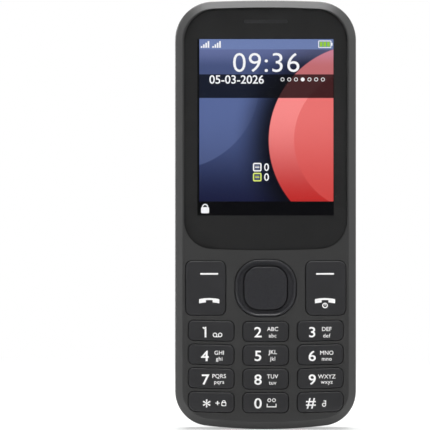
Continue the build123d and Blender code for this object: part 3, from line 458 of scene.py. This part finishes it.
boardLook = {"mask": tone(18, 92, 52), "maskShade": 0.8, "track": tone(34, 122, 70), "trackScale": 520,
             "trackWidth": 0.06, "trackSoft": 0.2, "trackDepth": 0.02 * mm, "speckleSize": 0.3 * mm,
             "speckleFrom": 0.62, "speckleTo": 0.7, "gloss": (0.3, 0.45)}


def boardLaminate(look):  # solder mask over copper tracks
    material, tree, shader = startMaterial("boardLaminate")
    bricks = tree.nodes.new("ShaderNodeTexBrick")
    tree.links.new(objectPoint(tree, turn=uprightTurn), bricks.inputs["Vector"])
    setInputs(bricks, {"Scale": look["trackScale"], "Mortar Size": look["trackWidth"],
                       "Mortar Smooth": look["trackSoft"], "Mortar": look["track"],
                       "Color1": look["mask"], "Color2": shaded(look["mask"], look["maskShade"])})
    speckle = grain(tree, look["speckleSize"])
    share = fade(tree, speckle, look["speckleFrom"], look["speckleTo"])
    wire(tree, shader.inputs["Base Color"], blendTone(tree, share, bricks.outputs["Color"], look["track"]))
    wire(tree, shader.inputs["Roughness"], span(tree, speckle, *look["gloss"]))
    relief(tree, shader, bricks.outputs["Fac"], look["trackDepth"])
    return material


batteryLow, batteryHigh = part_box("battery")
batteryLook = {"film": tone(150, 153, 158), "band": tone(72, 78, 92), "bandLow": batteryLow.z + 14 * mm,
               "bandHigh": batteryHigh.z - 12 * mm, "bandSoft": 0.3 * mm, "crinkleSize": 3 * mm,
               "crinkleDetail": 4.0, "crinkleStretch": (1, 1, 0.25), "crinkleDepth": 0.03 * mm,
               "dark": 0.92, "pale": 1.08, "gloss": (0.28, 0.42)}


def batteryWrap(look):  # shrink film with a darker band round the middle
    material, tree, shader = startMaterial("batteryWrap")
    height = splitPoint(tree, objectPoint(tree))["Z"]
    band = calc(tree, "MULTIPLY", fade(tree, height, look["bandLow"], look["bandLow"] + look["bandSoft"]),
                fade(tree, height, look["bandHigh"], look["bandHigh"] - look["bandSoft"]))
    crinkle = grain(tree, look["crinkleSize"], look["crinkleDetail"],
                    objectPoint(tree, look["crinkleStretch"]))
    dark, pale = (shaded(look["film"], look[side]) for side in ("dark", "pale"))
    film = blendTone(tree, crinkle, dark, pale)
    wire(tree, shader.inputs["Base Color"], blendTone(tree, band, film, look["band"]))
    wire(tree, shader.inputs["Roughness"], span(tree, crinkle, *look["gloss"]))
    relief(tree, shader, crinkle, look["crinkleDepth"])
    return material


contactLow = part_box("battery_contacts")[0]
contactLook = {"block": tone(30, 30, 32), "finger": tone(220, 178, 100),
               "fingerTop": contactLow.z + 0.75 * mm, "speckleSize": 0.15 * mm,
               "speckleDepth": 0.004 * mm, "gloss": (0.28, 0.45)}


def contactBlock(look):  # black block whose fingers are gilded
    material, tree, shader = startMaterial("contactBlock")
    finger = calc(tree, "LESS_THAN", splitPoint(tree, objectPoint(tree))["Z"], look["fingerTop"])
    speckle = grain(tree, look["speckleSize"])
    wire(tree, shader.inputs["Base Color"], blendTone(tree, finger, look["block"], look["finger"]))
    wire(tree, shader.inputs["Metallic"], finger)
    wire(tree, shader.inputs["Roughness"], span(tree, speckle, *look["gloss"]))
    relief(tree, shader, speckle, look["speckleDepth"])
    return material


keyCaps = [name for name in cadNodes if name.startswith("key_") and name != "key_lights"]
finishes = {
    moulded("shellPlastic", shellLook): ["front_housing"],
    moulded("coverPlastic", coverLook): ["rear_cover"],
    moulded("keyResin", keyLook): keyCaps + ["left_rocker_key", "right_rocker_key"],
    moulded("navResin", navLook): ["nav_ring", "ok_key"],
    clearPlastic("clearWindow", windowLook): ["display_window"],
    clearPlastic("torchLens", lensLook): ["torch_lens"],
    moulded("blackTape", tapeLook): ["window_tape", "lcd_panel"],
    wovenMesh("wireCloth", meshLook): ["earpiece_mesh", "cover_mesh"],
    moulded("chassisPlastic", chassisLook): ["rear_chassis"],
    moulded("socketBlack", socketLook): ["headphone_socket"],
    moulded("sealFoam", foamLook): ["lcd_gasket", "loudspeaker_gasket", "microphone_boot"],
    moulded("keypadSilicone", siliconeLook): ["keypad_mat", "nav_collar"],
    moulded("domeFilm", domeLook): ["dome_sheet"],
    moulded("whiteReflector", reflectorLook): ["lcd_frame"],
    moulded("amberRibbon", ribbonLook): ["lcd_flex"],
    moulded("lightPhosphor", lightLook): ["key_lights", "torch_led"],
    moulded("speakerBasket", speakerLook): ["earpiece_speaker", "loudspeaker"],
    metal("tinnedCan", canLook): ["radio_shield_can", "processor_shield_can", "first_sim_socket",
                                  "second_sim_socket", "memory_card_socket", "microphone", "vibration_motor"],
    metal("nickelShell", nickelLook): ["usb_socket"],
    metal("screwSteel", screwLook): ["housing_screws"],
    metal("antennaGold", goldLook): ["antenna"],
    boardLaminate(boardLook): ["main_board"],
    batteryWrap(batteryLook): ["battery"],
    contactBlock(contactLook): ["battery_contacts"],
}
for material, names in finishes.items():
    for name in names:
        cadNodes[name].material_slots[0].material = material
print("finishes set on", sum(len(names) for names in finishes.values()), "nodes")


# Signs beside the figures of the number keys, from the middle of the sign
tapePlan = {"radius": 0.71 * mm, "stroke": 0.28 * mm, "apart": 1.6 * mm, "rise": 0.2 * mm}


def tapeSymbol(x, z, y, plan):  # two reels on a line
    radius, stroke, apart = plan["radius"], plan["stroke"], plan["apart"]
    reels = [flatRing(x + side * apart / 2, z, y, radius, stroke) for side in (-1, 1)]
    return reels + [flatBar(x, z - radius + stroke / 2, y, apart, stroke)]


notePlan = {
    "stroke": 0.3 * mm, "drop": 0.2 * mm,
    "headX": -0.05 * mm, "headZ": -0.4 * mm, "headRadius": 0.65 * mm,
    "stemX": 0.45 * mm, "stemZ": 0.3 * mm, "stemHeight": 1.4 * mm,
    "flagX": 0.2 * mm, "flagZ": 0.75 * mm, "flagWidth": 0.8 * mm, "flagTurn": -0.35,
}


def quietNote(x, z, y, plan):  # round head, stem on its right, flag at the top
    stroke = plan["stroke"]
    flagX, flagZ = x + plan["flagX"], z + plan["flagZ"]
    head = flatRing(x + plan["headX"], z + plan["headZ"], y, plan["headRadius"], stroke)
    stem = flatBar(x + plan["stemX"], z + plan["stemZ"], y, stroke, plan["stemHeight"])
    flag = flatBar(flagX, flagZ, y, plan["flagWidth"], stroke)
    return [head, stem, tilt(flag, flagX, flagZ, plan["flagTurn"])]


# Padlocks, in shares of their size
outlineLock = {"rise": 0.1, "radius": 0.28, "stroke": 0.13, "drop": 0.2, "width": 0.72, "height": 0.6,
               "corner": 0.1, "hollow": True}
solidLock = {"rise": 0.12, "radius": 0.3, "stroke": 0.11, "drop": 0.2, "width": 0.78, "height": 0.6,
             "corner": 0.1, "hollow": False}


def padlock(x, z, y, size, look):
    shackleZ = z + look["rise"] * size
    stroke = look["stroke"] * size
    shackle = keepUpper(flatRing(x, shackleZ, y, look["radius"] * size, stroke), shackleZ)
    case = [look[side] * size for side in ("width", "height", "corner")]
    caseZ = z - look["drop"] * size
    if look["hollow"]:
        return [flatFrame(x, caseZ, y, *case, stroke), shackle]
    return [flatBar(x, caseZ, y, *case), shackle]


plusPlan = {"x": -0.95 * mm, "z": -0.1 * mm, "arm": 1.3 * mm, "stroke": 0.32 * mm, "lockX": 1 * mm,
            "lockSize": 2.1 * mm}


def plusAndLock(x, z, y, plan):
    plusX, plusZ = x + plan["x"], z + plan["z"]
    plus = [flatBar(plusX, plusZ, y, plan["arm"], plan["stroke"]),
            flatBar(plusX, plusZ, y, plan["stroke"], plan["arm"])]
    return plus + padlock(x + plan["lockX"], z, y, plan["lockSize"], outlineLock)


bracketPlan = {"width": 3.1 * mm, "height": 0.95 * mm, "stroke": 0.34 * mm, "ringX": 0.72 * mm,
               "ringRadius": 0.6 * mm, "ringStroke": 0.24 * mm}


def spaceBracket(x, lowZ, highZ, y, plan):  # bar with upright ends, two rings above it
    height, stroke = plan["height"], plan["stroke"]
    endX = (plan["width"] - stroke) / 2
    bar = flatBar(x, lowZ, y, plan["width"], stroke)
    ends = [flatBar(x + side * endX, lowZ + height / 2, y, stroke, height) for side in (-1, 1)]
    rings = [flatRing(x + side * plan["ringX"], highZ, y, plan["ringRadius"], plan["ringStroke"])
             for side in (-1, 1)]
    return [bar] + ends + rings


onePlan = {  # shares of the figure's height
    "stroke": 0.16, "uprightX": 0.09, "flagX": -0.04, "flagZ": 0.37, "flagWidth": 0.3,
    "flagStroke": 0.85,  # in strokes
    "flagTurn": -math.pi / 5,
}


def figureOne(x, z, y, height, plan):  # upright stroke with its flag
    stroke = height * plan["stroke"]
    flagX, flagZ = x + height * plan["flagX"], z + height * plan["flagZ"]
    upright = flatBar(x + height * plan["uprightX"], z, y, stroke, height)
    flag = flatBar(flagX, flagZ, y, height * plan["flagWidth"], stroke * plan["flagStroke"])
    return [upright, tilt(flag, flagX, flagZ, plan["flagTurn"])]


# Printed legends on the keys
legendPlan = {
    "rows": (("1", "2", "3"), ("4", "5", "6"), ("7", "8", "9"), ("star", "0", "hash")),
    "letters": {"2": "ABC", "3": "DEF", "4": "GHI", "5": "JKL", "6": "MNO", "7": "PQRS", "8": "TUV",
                "9": "WXYZ"},
    "figureHeight": 3.3 * mm,
    "figureStretch": 1.12,
    "figureBold": 0.013,
    "figureX": (-1.95 * mm, -2.4 * mm, -2.5 * mm),  # from the key's middle, one for each column
    "figureShift": {"1": -0.12 * mm, "7": 0.25 * mm, "star": 0.55 * mm, "hash": -0.4 * mm},
    "figureDrop": 0.18 * mm,
    "starHeight": 1.25,  # in figure heights
    "starBold": 0.01,
    "letterHeight": 1.3 * mm,
    "letterBold": 0.01,
    "letterX": (2.5 * mm, 2.15 * mm, 2.05 * mm),
    "markX": {"1": 2.0 * mm, "star": 2.95 * mm, "0": 1.85 * mm, "hash": 1.25 * mm},
    "upperRow": 0.8 * mm, "upperSpacing": 1.04,
    "lowerRow": -1.25 * mm, "lowerSpacing": 1.08,
    "lowerHeight": 0.95,  # in letter heights
    "front": 1.0 * mm,  # drawn that far before the keys, then laid on them
    "bands": 0.4 * mm,
    "film": 0.025 * mm,
    "sink": 0.005 * mm,
}
legendInk = moulded("legendInk", inkLook)


def layOn(piece, nodeName, plan):  # cuts a print into bands and lays it on a key's crown
    low = min(vertex.co.z for vertex in piece.data.vertices)
    high = max(vertex.co.z for vertex in piece.data.vertices)
    editMode(piece)
    for step in range(1, int((high - low) / plan["bands"]) + 1):
        bpy.ops.mesh.select_all(action="SELECT")
        cutZ = low + step * plan["bands"]
        bpy.ops.mesh.bisect(plane_co=(0, 0, cutZ), plane_no=(0, 0, 1), threshold=cutSlack)
    objectMode()
    applyModifier(piece, "SHRINKWRAP", target=cadNodes[nodeName], wrap_method="PROJECT",
                  use_project_y=True, use_positive_direction=True)
    thicken(piece, plan["film"] + plan["sink"], plan["sink"])


def finishPrint(piece, body):
    paint(piece, legendInk)
    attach(piece, body)


def keyFigure(key, x, z, y, plan):
    height = plan["figureHeight"]
    if key == "1":
        return figureOne(x, z, y, height, onePlan)
    if key == "star":
        return [flatText("*", x, z, y, height * plan["starHeight"], plan["starBold"])]
    words = "#" if key == "hash" else key
    return [flatText(words, x, z, y, height, plan["figureBold"], stretch=plan["figureStretch"])]


def sideMark(key, x, z, y, plan):  # what stands to the right of a key's figure
    lowZ, highZ = z + plan["lowerRow"], z + plan["upperRow"]
    if key == "1":
        return tapeSymbol(x, lowZ + tapePlan["rise"], y, tapePlan)
    if key == "star":
        return plusAndLock(x, z, y, plusPlan)
    if key == "0":
        return spaceBracket(x, lowZ, highZ, y, bracketPlan)
    if key == "hash":
        return quietNote(x, z - notePlan["drop"], y, notePlan)
    letters = plan["letters"][key]
    height, bold = plan["letterHeight"], plan["letterBold"]
    return [flatText(letters, x, highZ, y, height, bold, plan["upperSpacing"]),
            flatText(letters.lower(), x, lowZ, y, height * plan["lowerHeight"], bold, plan["lowerSpacing"])]


def numberLegends(plan):
    for row in plan["rows"]:
        rowLow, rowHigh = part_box("key_" + row[1])
        z = (rowLow.z + rowHigh.z) / 2 - plan["figureDrop"]
        for column, key in enumerate(row):
            low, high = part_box("key_" + key)
            middle = (low.x + high.x) / 2
            x = middle + plan["figureX"][column] + plan["figureShift"].get(key, 0.0)
            markX = middle + plan["markX"].get(key, plan["letterX"][column])
            y = low.y - plan["front"]
            shapes = keyFigure(key, x, z, y, plan) + sideMark(key, markX, z + plan["figureDrop"], y, plan)
            legend = joinPieces("legend_" + key, shapes)
            layOn(legend, "key_" + key, plan)
            finishPrint(legend, "key_" + key + "_body")


handsetLook = {  # shares of the sign's width or height
    "columns": 12,
    "grip": 0.36,
    "endFrom": 0.36, "endDrop": 0.4,
    "arch": 0.2,
    "corner": 0.09, "cornerSteps": 3,
    "edgeSlack": 0.05, "tipSlack": 0.02,
}


def handset(x, z, y, width, height, look):  # receiver lying on its two ends
    deselectAll()
    bpy.ops.mesh.primitive_grid_add(
        x_subdivisions=look["columns"], y_subdivisions=1, size=1, location=(x, y, z), rotation=uprightTurn)
    piece = bpy.context.object
    piece.scale = (width, height * look["grip"], 1)
    settle(piece)
    low = z - height * look["grip"] / 2
    reach = width / 2
    editMode(piece, "EDGE")
    selectWhere(piece, "edges", lambda place: abs(place.z - low) < height * look["edgeSlack"]
                and abs(place.x - x) > reach * look["endFrom"])
    bpy.ops.mesh.extrude_edges_move(TRANSFORM_OT_translate={"value": (0, 0, -height * look["endDrop"])})
    objectMode()
    for vertex in piece.data.vertices:  # arch of the handle
        vertex.co.z += height * look["arch"] * (1 - ((vertex.co.x - x) / reach) ** 2)
    editMode(piece, "VERT")
    selectWhere(piece, "verts", lambda place: abs(abs(place.x - x) - reach) < reach * look["tipSlack"])
    bpy.ops.mesh.bevel(offset=height * look["corner"], segments=look["cornerSteps"], affect="VERTICES")
    objectMode()
    return piece


rockerPlan = {
    "left": {"x": -17.6 * mm, "power": False},
    "right": {"x": 18.5 * mm, "power": True},
    "dashZ": 48.6 * mm, "dash": (5.6 * mm, 0.52 * mm),
    "dashCorner": 0.3,  # in heights of the dash
    "handsetZ": 40.4 * mm, "handset": (6.3 * mm, 1.75 * mm),
    "powerZ": 38.75 * mm, "powerRadius": 0.86 * mm, "powerStroke": 0.3 * mm,
    "powerRise": 0.4 * mm, "powerBar": 0.85 * mm,
}


def rockerLegends(plan, printing):
    for side in ("left", "right"):
        node = side + "_rocker_key"
        x = plan[side]["x"]
        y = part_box(node)[0].y - printing["front"]
        shapes = [flatBar(x, plan["dashZ"], y, *plan["dash"], plan["dash"][1] * plan["dashCorner"]),
                  handset(x, plan["handsetZ"], y, *plan["handset"], handsetLook)]
        if plan[side]["power"]:
            barZ = plan["powerZ"] + plan["powerRise"]
            shapes += [flatRing(x, plan["powerZ"], y, plan["powerRadius"], plan["powerStroke"]),
                       flatBar(x, barZ, y, plan["powerStroke"], plan["powerBar"])]
        legend = joinPieces("legend_" + side + "_rocker", shapes)
        layOn(legend, node, printing)
        finishPrint(legend, side + "_rocker_body")


numberLegends(legendPlan)
rockerLegends(rockerPlan, legendPlan)
print("legends printed")


# Display picture
screenPlan = {
    "left": -20.7 * mm, "right": 21.2 * mm, "low": 66.8 * mm, "high": 121.9 * mm,
    "border": 0.7 * mm,
    "statusLow": 118.7 * mm,
    "clockLow": 110.9 * mm,
    "dateLow": 103.5 * mm,
    "softHigh": 71.2 * mm,
    "film": 0.02 * mm, "filmCuts": 7,
    "signFilm": 0.015 * mm,
}
screenMiddle = (screenPlan["low"] + screenPlan["high"]) / 2
screenAxis = (screenPlan["left"] + screenPlan["right"]) / 2
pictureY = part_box("lcd_panel")[0].y - screenPlan["film"]
signY = pictureY - screenPlan["signFilm"]

wallpaperLook = {
    "blueTop": tone(78, 94, 143), "blueLow": tone(22, 26, 58), "blueArc": tone(104, 120, 170),
    "redTop": tone(250, 140, 138), "redLow": tone(190, 42, 40), "redArc": tone(222, 88, 84),
    "shade": tone(5, 6, 14), "status": tone(112, 130, 178), "soft": tone(2, 2, 5),
    "dateShade": tone(5, 7, 13), "clockHigh": tone(112, 118, 160), "clockLow": tone(34, 38, 66),
    "blueArcShare": 0.35, "redArcShare": 0.55, "shadeShare": 0.96,  # strengths of the layers
    "clockShare": 0.45, "dateShare": 0.94, "statusShare": 0.9,
    "gradientLow": 70 * mm, "gradientHigh": 101 * mm, "clockFade": 2 * mm,
    "redCentre": (31 * mm, -4 * mm), "redRadius": 30 * mm, "redInner": 22 * mm,
    "blueCentre": (-29 * mm, 14 * mm), "blueRadius": 27 * mm,
    "arcSoft": 0.2 * mm, "edgeSoft": 0.15 * mm, "shadeReach": 12 * mm,
    "border": (0.001, 0.001, 0.001, 1),
    "surface": {"Emission Strength": 1.05, "Base Color": (0.001, 0.001, 0.0012, 1), "Roughness": 0.5,
                "Specular IOR Level": 0.1},
}


def arcDistance(tree, x, z, centreX, centreZ):
    return calc(tree, "SQRT", calc(
        tree, "ADD", calc(tree, "POWER", calc(tree, "SUBTRACT", x, centreX), 2.0),
        calc(tree, "POWER", calc(tree, "SUBTRACT", z, centreZ), 2.0)))


def pictureLight(look, plan):  # layered arcs in blue and red under the bars of the home screen
    material, tree, shader = startMaterial("pictureLight")
    parts = splitPoint(tree, objectPoint(tree))
    x, high = parts["X"], parts["Z"]
    z = calc(tree, "SUBTRACT", high, screenMiddle)

    rise = fade(tree, high, look["gradientLow"], look["gradientHigh"])
    blue = blendTone(tree, rise, look["blueLow"], look["blueTop"])
    blueReach = arcDistance(tree, x, z, *look["blueCentre"])
    blueArc = fade(tree, blueReach, look["blueRadius"] + look["arcSoft"], look["blueRadius"])
    blue = overlay(tree, blue, look["blueArc"], blueArc, look["blueArcShare"])
    red = blendTone(tree, rise, look["redLow"], look["redTop"])
    redReach = arcDistance(tree, x, z, *look["redCentre"])
    redArc = fade(tree, redReach, look["redInner"] + look["arcSoft"], look["redInner"])
    red = overlay(tree, red, look["redArc"], redArc, look["redArcShare"])
    shade = fade(tree, redReach, look["redRadius"] + look["shadeReach"], look["redRadius"])
    ground = overlay(tree, blue, look["shade"], shade, look["shadeShare"])
    edge = fade(tree, redReach, look["redRadius"] + look["edgeSoft"], look["redRadius"] - look["edgeSoft"])
    picture = blendTone(tree, edge, ground, red)

    clockRise = fade(tree, high, plan["clockLow"] + look["clockFade"], plan["statusLow"])
    clockTint = blendTone(tree, clockRise, look["clockLow"], look["clockHigh"])
    clock = calc(tree, "GREATER_THAN", high, plan["clockLow"])
    picture = overlay(tree, picture, clockTint, clock, look["clockShare"])
    date = calc(tree, "MULTIPLY", calc(tree, "GREATER_THAN", high, plan["dateLow"]),
                calc(tree, "LESS_THAN", high, plan["clockLow"]))
    picture = overlay(tree, picture, look["dateShade"], date, look["dateShare"])
    status = calc(tree, "GREATER_THAN", high, plan["statusLow"])
    picture = overlay(tree, picture, look["status"], status, look["statusShare"])
    picture = blendTone(tree, calc(tree, "LESS_THAN", high, plan["softHigh"]), picture, look["soft"])

    inside = calc(tree, "MULTIPLY", calc(tree, "COMPARE", x, screenAxis, (plan["right"] - plan["left"]) / 2),
                  calc(tree, "COMPARE", high, screenMiddle, (plan["high"] - plan["low"]) / 2))
    wire(tree, shader.inputs["Emission Color"], blendTone(tree, inside, look["border"], picture))
    setInputs(shader, look["surface"])
    return material


def screenPicture(plan):  # thin film on the panel, divided into cells
    width = plan["right"] - plan["left"] + 2 * plan["border"]
    height = plan["high"] - plan["low"] + 2 * plan["border"]
    piece = flatBar(screenAxis, screenMiddle, pictureY + plan["film"], width, height)
    editMode(piece)
    bpy.ops.mesh.subdivide(number_cuts=plan["filmCuts"])
    objectMode()
    thicken(piece, plan["film"])
    piece.name = "screen_picture"
    paint(piece, pictureLight(wallpaperLook, plan))
    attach(piece, "phone_body")


# Signs on the picture
signInk = {
    "unevenSize": 6 * mm, "unevenShade": 0.94,
    "surface": {"Base Color": (0.002, 0.002, 0.002, 1), "Roughness": 0.6, "Specular IOR Level": 0.1,
                "Emission Strength": 1.05},
}


def litInk(name, colour, look):  # bright picture element of the display
    material, tree, shader = startMaterial(name)
    setInputs(shader, look["surface"])
    uneven = grain(tree, look["unevenSize"])
    dimmed = shaded(colour, look["unevenShade"])
    wire(tree, shader.inputs["Emission Color"], blendTone(tree, uneven, dimmed, colour))
    return material


def screenSign(name, shapes, material):
    piece = joinPieces(name, shapes)
    thicken(piece, screenPlan["signFilm"])
    paint(piece, material)
    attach(piece, "phone_body")


clockPlan = {"figures": "09:36", "x": 0.2 * mm, "z": 114.6 * mm, "height": 6.3 * mm, "bold": -0.004,
             "spacing": 1.06, "stretch": 1.06}
datePlan = {"figures": "05-03-2026", "x": -9.05 * mm, "z": 109.3 * mm, "height": 2.7 * mm, "bold": 0.012,
            "spacing": 1.0, "stretch": 1.0}


def signFigures(plan):
    return flatText(plan["figures"], plan["x"], plan["z"], signY, plan["height"], plan["bold"],
                    plan["spacing"], plan["stretch"])


dayPlan = {"days": 7, "today": 3, "x": 11.6 * mm, "z": 109.3 * mm, "pitch": 2.1 * mm, "radius": 0.62 * mm,
           "stroke": 0.2 * mm, "steps": 16}


def weekdayDots(plan):  # a ring for each day and a disc for today
    places = [plan["x"] + (day - plan["days"] // 2) * plan["pitch"] for day in range(plan["days"])]
    today = places.pop(plan["today"])
    rings = [flatRing(x, plan["z"], signY, plan["radius"], plan["stroke"], plan["steps"]) for x in places]
    return rings + [flatDisc(today, plan["z"], signY, plan["radius"])]


barPlan = {"x": (-20.0 * mm, -16.4 * mm), "z": 119.2 * mm, "count": 4, "pitch": 0.72 * mm,
           "width": 0.5 * mm, "rise": 0.52 * mm}


def signalBars(plan):  # two groups of rising bars
    bars = []
    for x in plan["x"]:
        for step in range(plan["count"]):
            height = (step + 1) * plan["rise"]
            place = x + step * plan["pitch"], plan["z"] + height / 2
            bars.append(flatBar(*place, signY, plan["width"], height))
    return bars


cellPlan = {"x": 18.5 * mm, "z": 120.3 * mm, "width": 4.1 * mm, "height": 2.3 * mm, "corner": 0.3 * mm,
            "stroke": 0.24 * mm, "tipWidth": 0.36 * mm, "tipHeight": 0.9 * mm,
            "bars": 3, "barPitch": 1.12 * mm, "barWidth": 0.9 * mm, "barHeight": 1.5 * mm}


def cellFrame(plan):
    size = [plan[side] for side in ("width", "height", "corner", "stroke")]
    tipX = plan["x"] + plan["width"] / 2 + plan["tipWidth"] / 2
    return [flatFrame(plan["x"], plan["z"], signY, *size),
            flatBar(tipX, plan["z"], signY, plan["tipWidth"], plan["tipHeight"])]


def cellCharge(plan):
    places = [plan["x"] + (step - plan["bars"] // 2) * plan["barPitch"] for step in range(plan["bars"])]
    return [flatBar(x, plan["z"], signY, plan["barWidth"], plan["barHeight"]) for x in places]


noticePlan = {
    "x": -2.6 * mm, "z": (81.9 * mm, 78.8 * mm), "size": 2.7 * mm, "corner": 0.5 * mm, "stroke": 0.42 * mm,
    "lineWidth": 0.5, "middleLine": 0.12, "outerLine": 0.1, "outerRise": 0.2,  # shares of the size
    "count": "0", "countX": 0.3 * mm, "countHeight": 2.4 * mm, "countBold": 0.012,
}


def noticeRow(plan, number, z, tileInk, countInk, lineInk):  # tile with three lines and its count
    x, size = plan["x"], plan["size"]
    width, height = size * plan["lineWidth"], size * plan["outerLine"]
    tile = flatFrame(x, z, signY, size, size, plan["corner"], plan["stroke"])
    middle = flatBar(x, z, signY, width, size * plan["middleLine"])
    screenSign("notice_tile_" + number, [tile, middle], tileInk)
    count = flatText(plan["count"], plan["countX"], z, signY, plan["countHeight"], plan["countBold"])
    screenSign("notice_count_" + number, [count], countInk)
    lines = [flatBar(x, z + side * size * plan["outerRise"], signY, width, height) for side in (1, -1)]
    screenSign("notice_glyph_" + number, lines, lineInk)


softPlan = {"x": -18.9 * mm, "z": 69.1 * mm, "size": 3.2 * mm}


def screenSigns():
    white = litInk("litWhite", tone(250, 250, 252), signInk)
    grey = litInk("litGrey", tone(120, 128, 160), signInk)
    green = litInk("litGreen", tone(150, 205, 60), signInk)
    lime = litInk("litLime", tone(222, 236, 120), signInk)
    screenSign("clock_figures", [signFigures(clockPlan)], white)
    screenSign("date_figures", [signFigures(datePlan)], white)
    screenSign("weekday_dots", weekdayDots(dayPlan), white)
    screenSign("signal_bars", signalBars(barPlan), white)
    screenSign("cell_frame", cellFrame(cellPlan), white)
    screenSign("cell_charge", cellCharge(cellPlan), green)
    for number, z, ink in zip("12", noticePlan["z"], (white, lime)):
        noticeRow(noticePlan, number, z, ink, white, grey)
    lock = padlock(softPlan["x"], softPlan["z"], signY, softPlan["size"], solidLock)
    screenSign("soft_key_padlock", lock, white)


screenPicture(screenPlan)
screenSigns()
print("screen lit")


# Studio: pale floor, soft light, camera straight on to the screen
floorPlan = {
    "size": 3.0,
    "tone": (0.86, 0.86, 0.86, 1),
    "dustSize": 30 * mm, "dustDetail": 3.0, "dustShade": 0.98,
    "surface": {"Roughness": 0.8, "Specular IOR Level": 0.1},
    "clearFrom": 0.12, "clearTo": 0.45,  # it runs out into white between these distances
    "nearGlow": 0.45,
    "dimFrom": 0.008, "dimTo": 0.03, "dimGloss": 0.12,  # for reflections, before and behind the phone
}


def paleFloor(plan):
    deselectAll()
    bpy.ops.mesh.primitive_plane_add(size=plan["size"], location=(0, 0, 0))
    floor = bpy.context.object
    floor.name = "studio_floor"
    material, tree, shader = startMaterial("paleFloor")
    setInputs(shader, plan["surface"])
    dust = grain(tree, plan["dustSize"], plan["dustDetail"])
    dusty = shaded(plan["tone"], plan["dustShade"])
    wire(tree, shader.inputs["Base Color"], blendTone(tree, dust, dusty, plan["tone"]))
    reach = tree.nodes.new("ShaderNodeVectorMath")
    reach.operation = "LENGTH"
    tree.links.new(objectPoint(tree), reach.inputs[0])
    away = fade(tree, reach.outputs["Value"], plan["clearFrom"], plan["clearTo"])
    rays, bent = lightPath(tree)
    seen = calc(tree, "MAXIMUM", rays["Is Camera Ray"], bent)
    depth = splitPoint(tree, objectPoint(tree))["Y"]
    apart = fade(tree, calc(tree, "ABSOLUTE", depth), plan["dimFrom"], plan["dimTo"])
    dim = calc(tree, "MULTIPLY", bent, apart)
    white = calc(tree, "MULTIPLY", seen, calc(tree, "MAXIMUM", away, plan["nearGlow"]))
    glow = tree.nodes.new("ShaderNodeEmission")
    lost = calc(tree, "MULTIPLY", dim, 1 - plan["dimGloss"])
    wire(tree, glow.inputs["Strength"], calc(tree, "SUBTRACT", 1.0, lost))
    mixSurface(tree, calc(tree, "MAXIMUM", dim, white), shader, glow)
    paint(floor, material)


lampPlans = {
    "top_softbox": {"size": (0.6, 0.5), "place": (0, 0.1, 0.75), "target": (0, 0, 0.1), "power": 7.8},
    "front_fill": {"size": (0.6, 0.16), "place": (0, -0.42, 0.6), "target": (0, 0, 0.07), "power": 1.9},
    "rim_strip": {"size": (0.1, 0.5), "place": (-0.55, 0.22, 0.16), "target": (0, 0, 0.06), "power": 2.4},
    "side_panel": {"size": (0.3, 0.5), "place": (0.7, 0.05, 0.3), "target": (0, 0, 0.08), "power": 1.0},
}


def softLamp(name, plan):
    lamp = bpy.data.lights.new(name, "AREA")
    lamp.shape = "RECTANGLE"
    lamp.size, lamp.size_y = plan["size"]
    lamp.energy = plan["power"]
    holder = bpy.data.objects.new(name, lamp)
    bpy.context.scene.collection.objects.link(holder)
    holder.location = plan["place"]
    holder.visible_camera = False
    aim = Vector(plan["target"]) - Vector(plan["place"])
    holder.rotation_euler = aim.to_track_quat("-Z", "Y").to_euler()


skyPlan = {"diffuse": 0.25, "frontGloss": 0.06, "sideReach": 0.75}


def whiteSurround(plan):  # white to the eye, dimmer before and behind the phone for its reflections
    world = bpy.data.worlds.new("surround")
    bpy.context.scene.world = world
    world.use_nodes = True
    tree = world.node_tree
    ground = tree.nodes["Background"]
    depth = splitPoint(tree, tree.nodes.new("ShaderNodeTexCoord").outputs["Generated"])["Y"]
    beside = fade(tree, calc(tree, "ABSOLUTE", depth), plan["sideReach"], 0.0)
    mirrored = calc(tree, "ADD", plan["frontGloss"], calc(tree, "MULTIPLY", beside, 1 - plan["frontGloss"]))
    rays, bent = lightPath(tree)
    level = calc(tree, "ADD", plan["diffuse"], calc(
        tree, "MULTIPLY", bent, calc(tree, "SUBTRACT", mirrored, plan["diffuse"])))
    level = calc(tree, "ADD", level, calc(
        tree, "MULTIPLY", rays["Is Camera Ray"], calc(tree, "SUBTRACT", 1.0, level)))
    setInputs(ground, {"Color": (1, 1, 1, 1)})
    tree.links.new(level, ground.inputs["Strength"])


cameraPlan = {
    "x": -15.8 * mm, "z": 66.95 * mm, "distance": 0.9,
    "fieldWidth": 134.1 * mm,  # across the picture at the front face
    "sensor": 36.0,
    "clip": (0.01, 20),
}


def frontCamera(plan):
    data = bpy.data.cameras.new("front_camera")
    data.sensor_width = plan["sensor"]
    data.lens = plan["sensor"] * plan["distance"] / plan["fieldWidth"]
    data.clip_start, data.clip_end = plan["clip"]
    camera = bpy.data.objects.new("front_camera", data)
    bpy.context.scene.collection.objects.link(camera)
    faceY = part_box("front_housing")[0].y
    camera.location = (plan["x"], faceY - plan["distance"], plan["z"])
    camera.rotation_euler = uprightTurn
    bpy.context.scene.camera = camera


paleFloor(floorPlan)
for name, plan in lampPlans.items():
    softLamp(name, plan)
whiteSurround(skyPlan)
frontCamera(cameraPlan)
bpy.context.scene.view_settings.view_transform = "Standard"
print("studio ready")
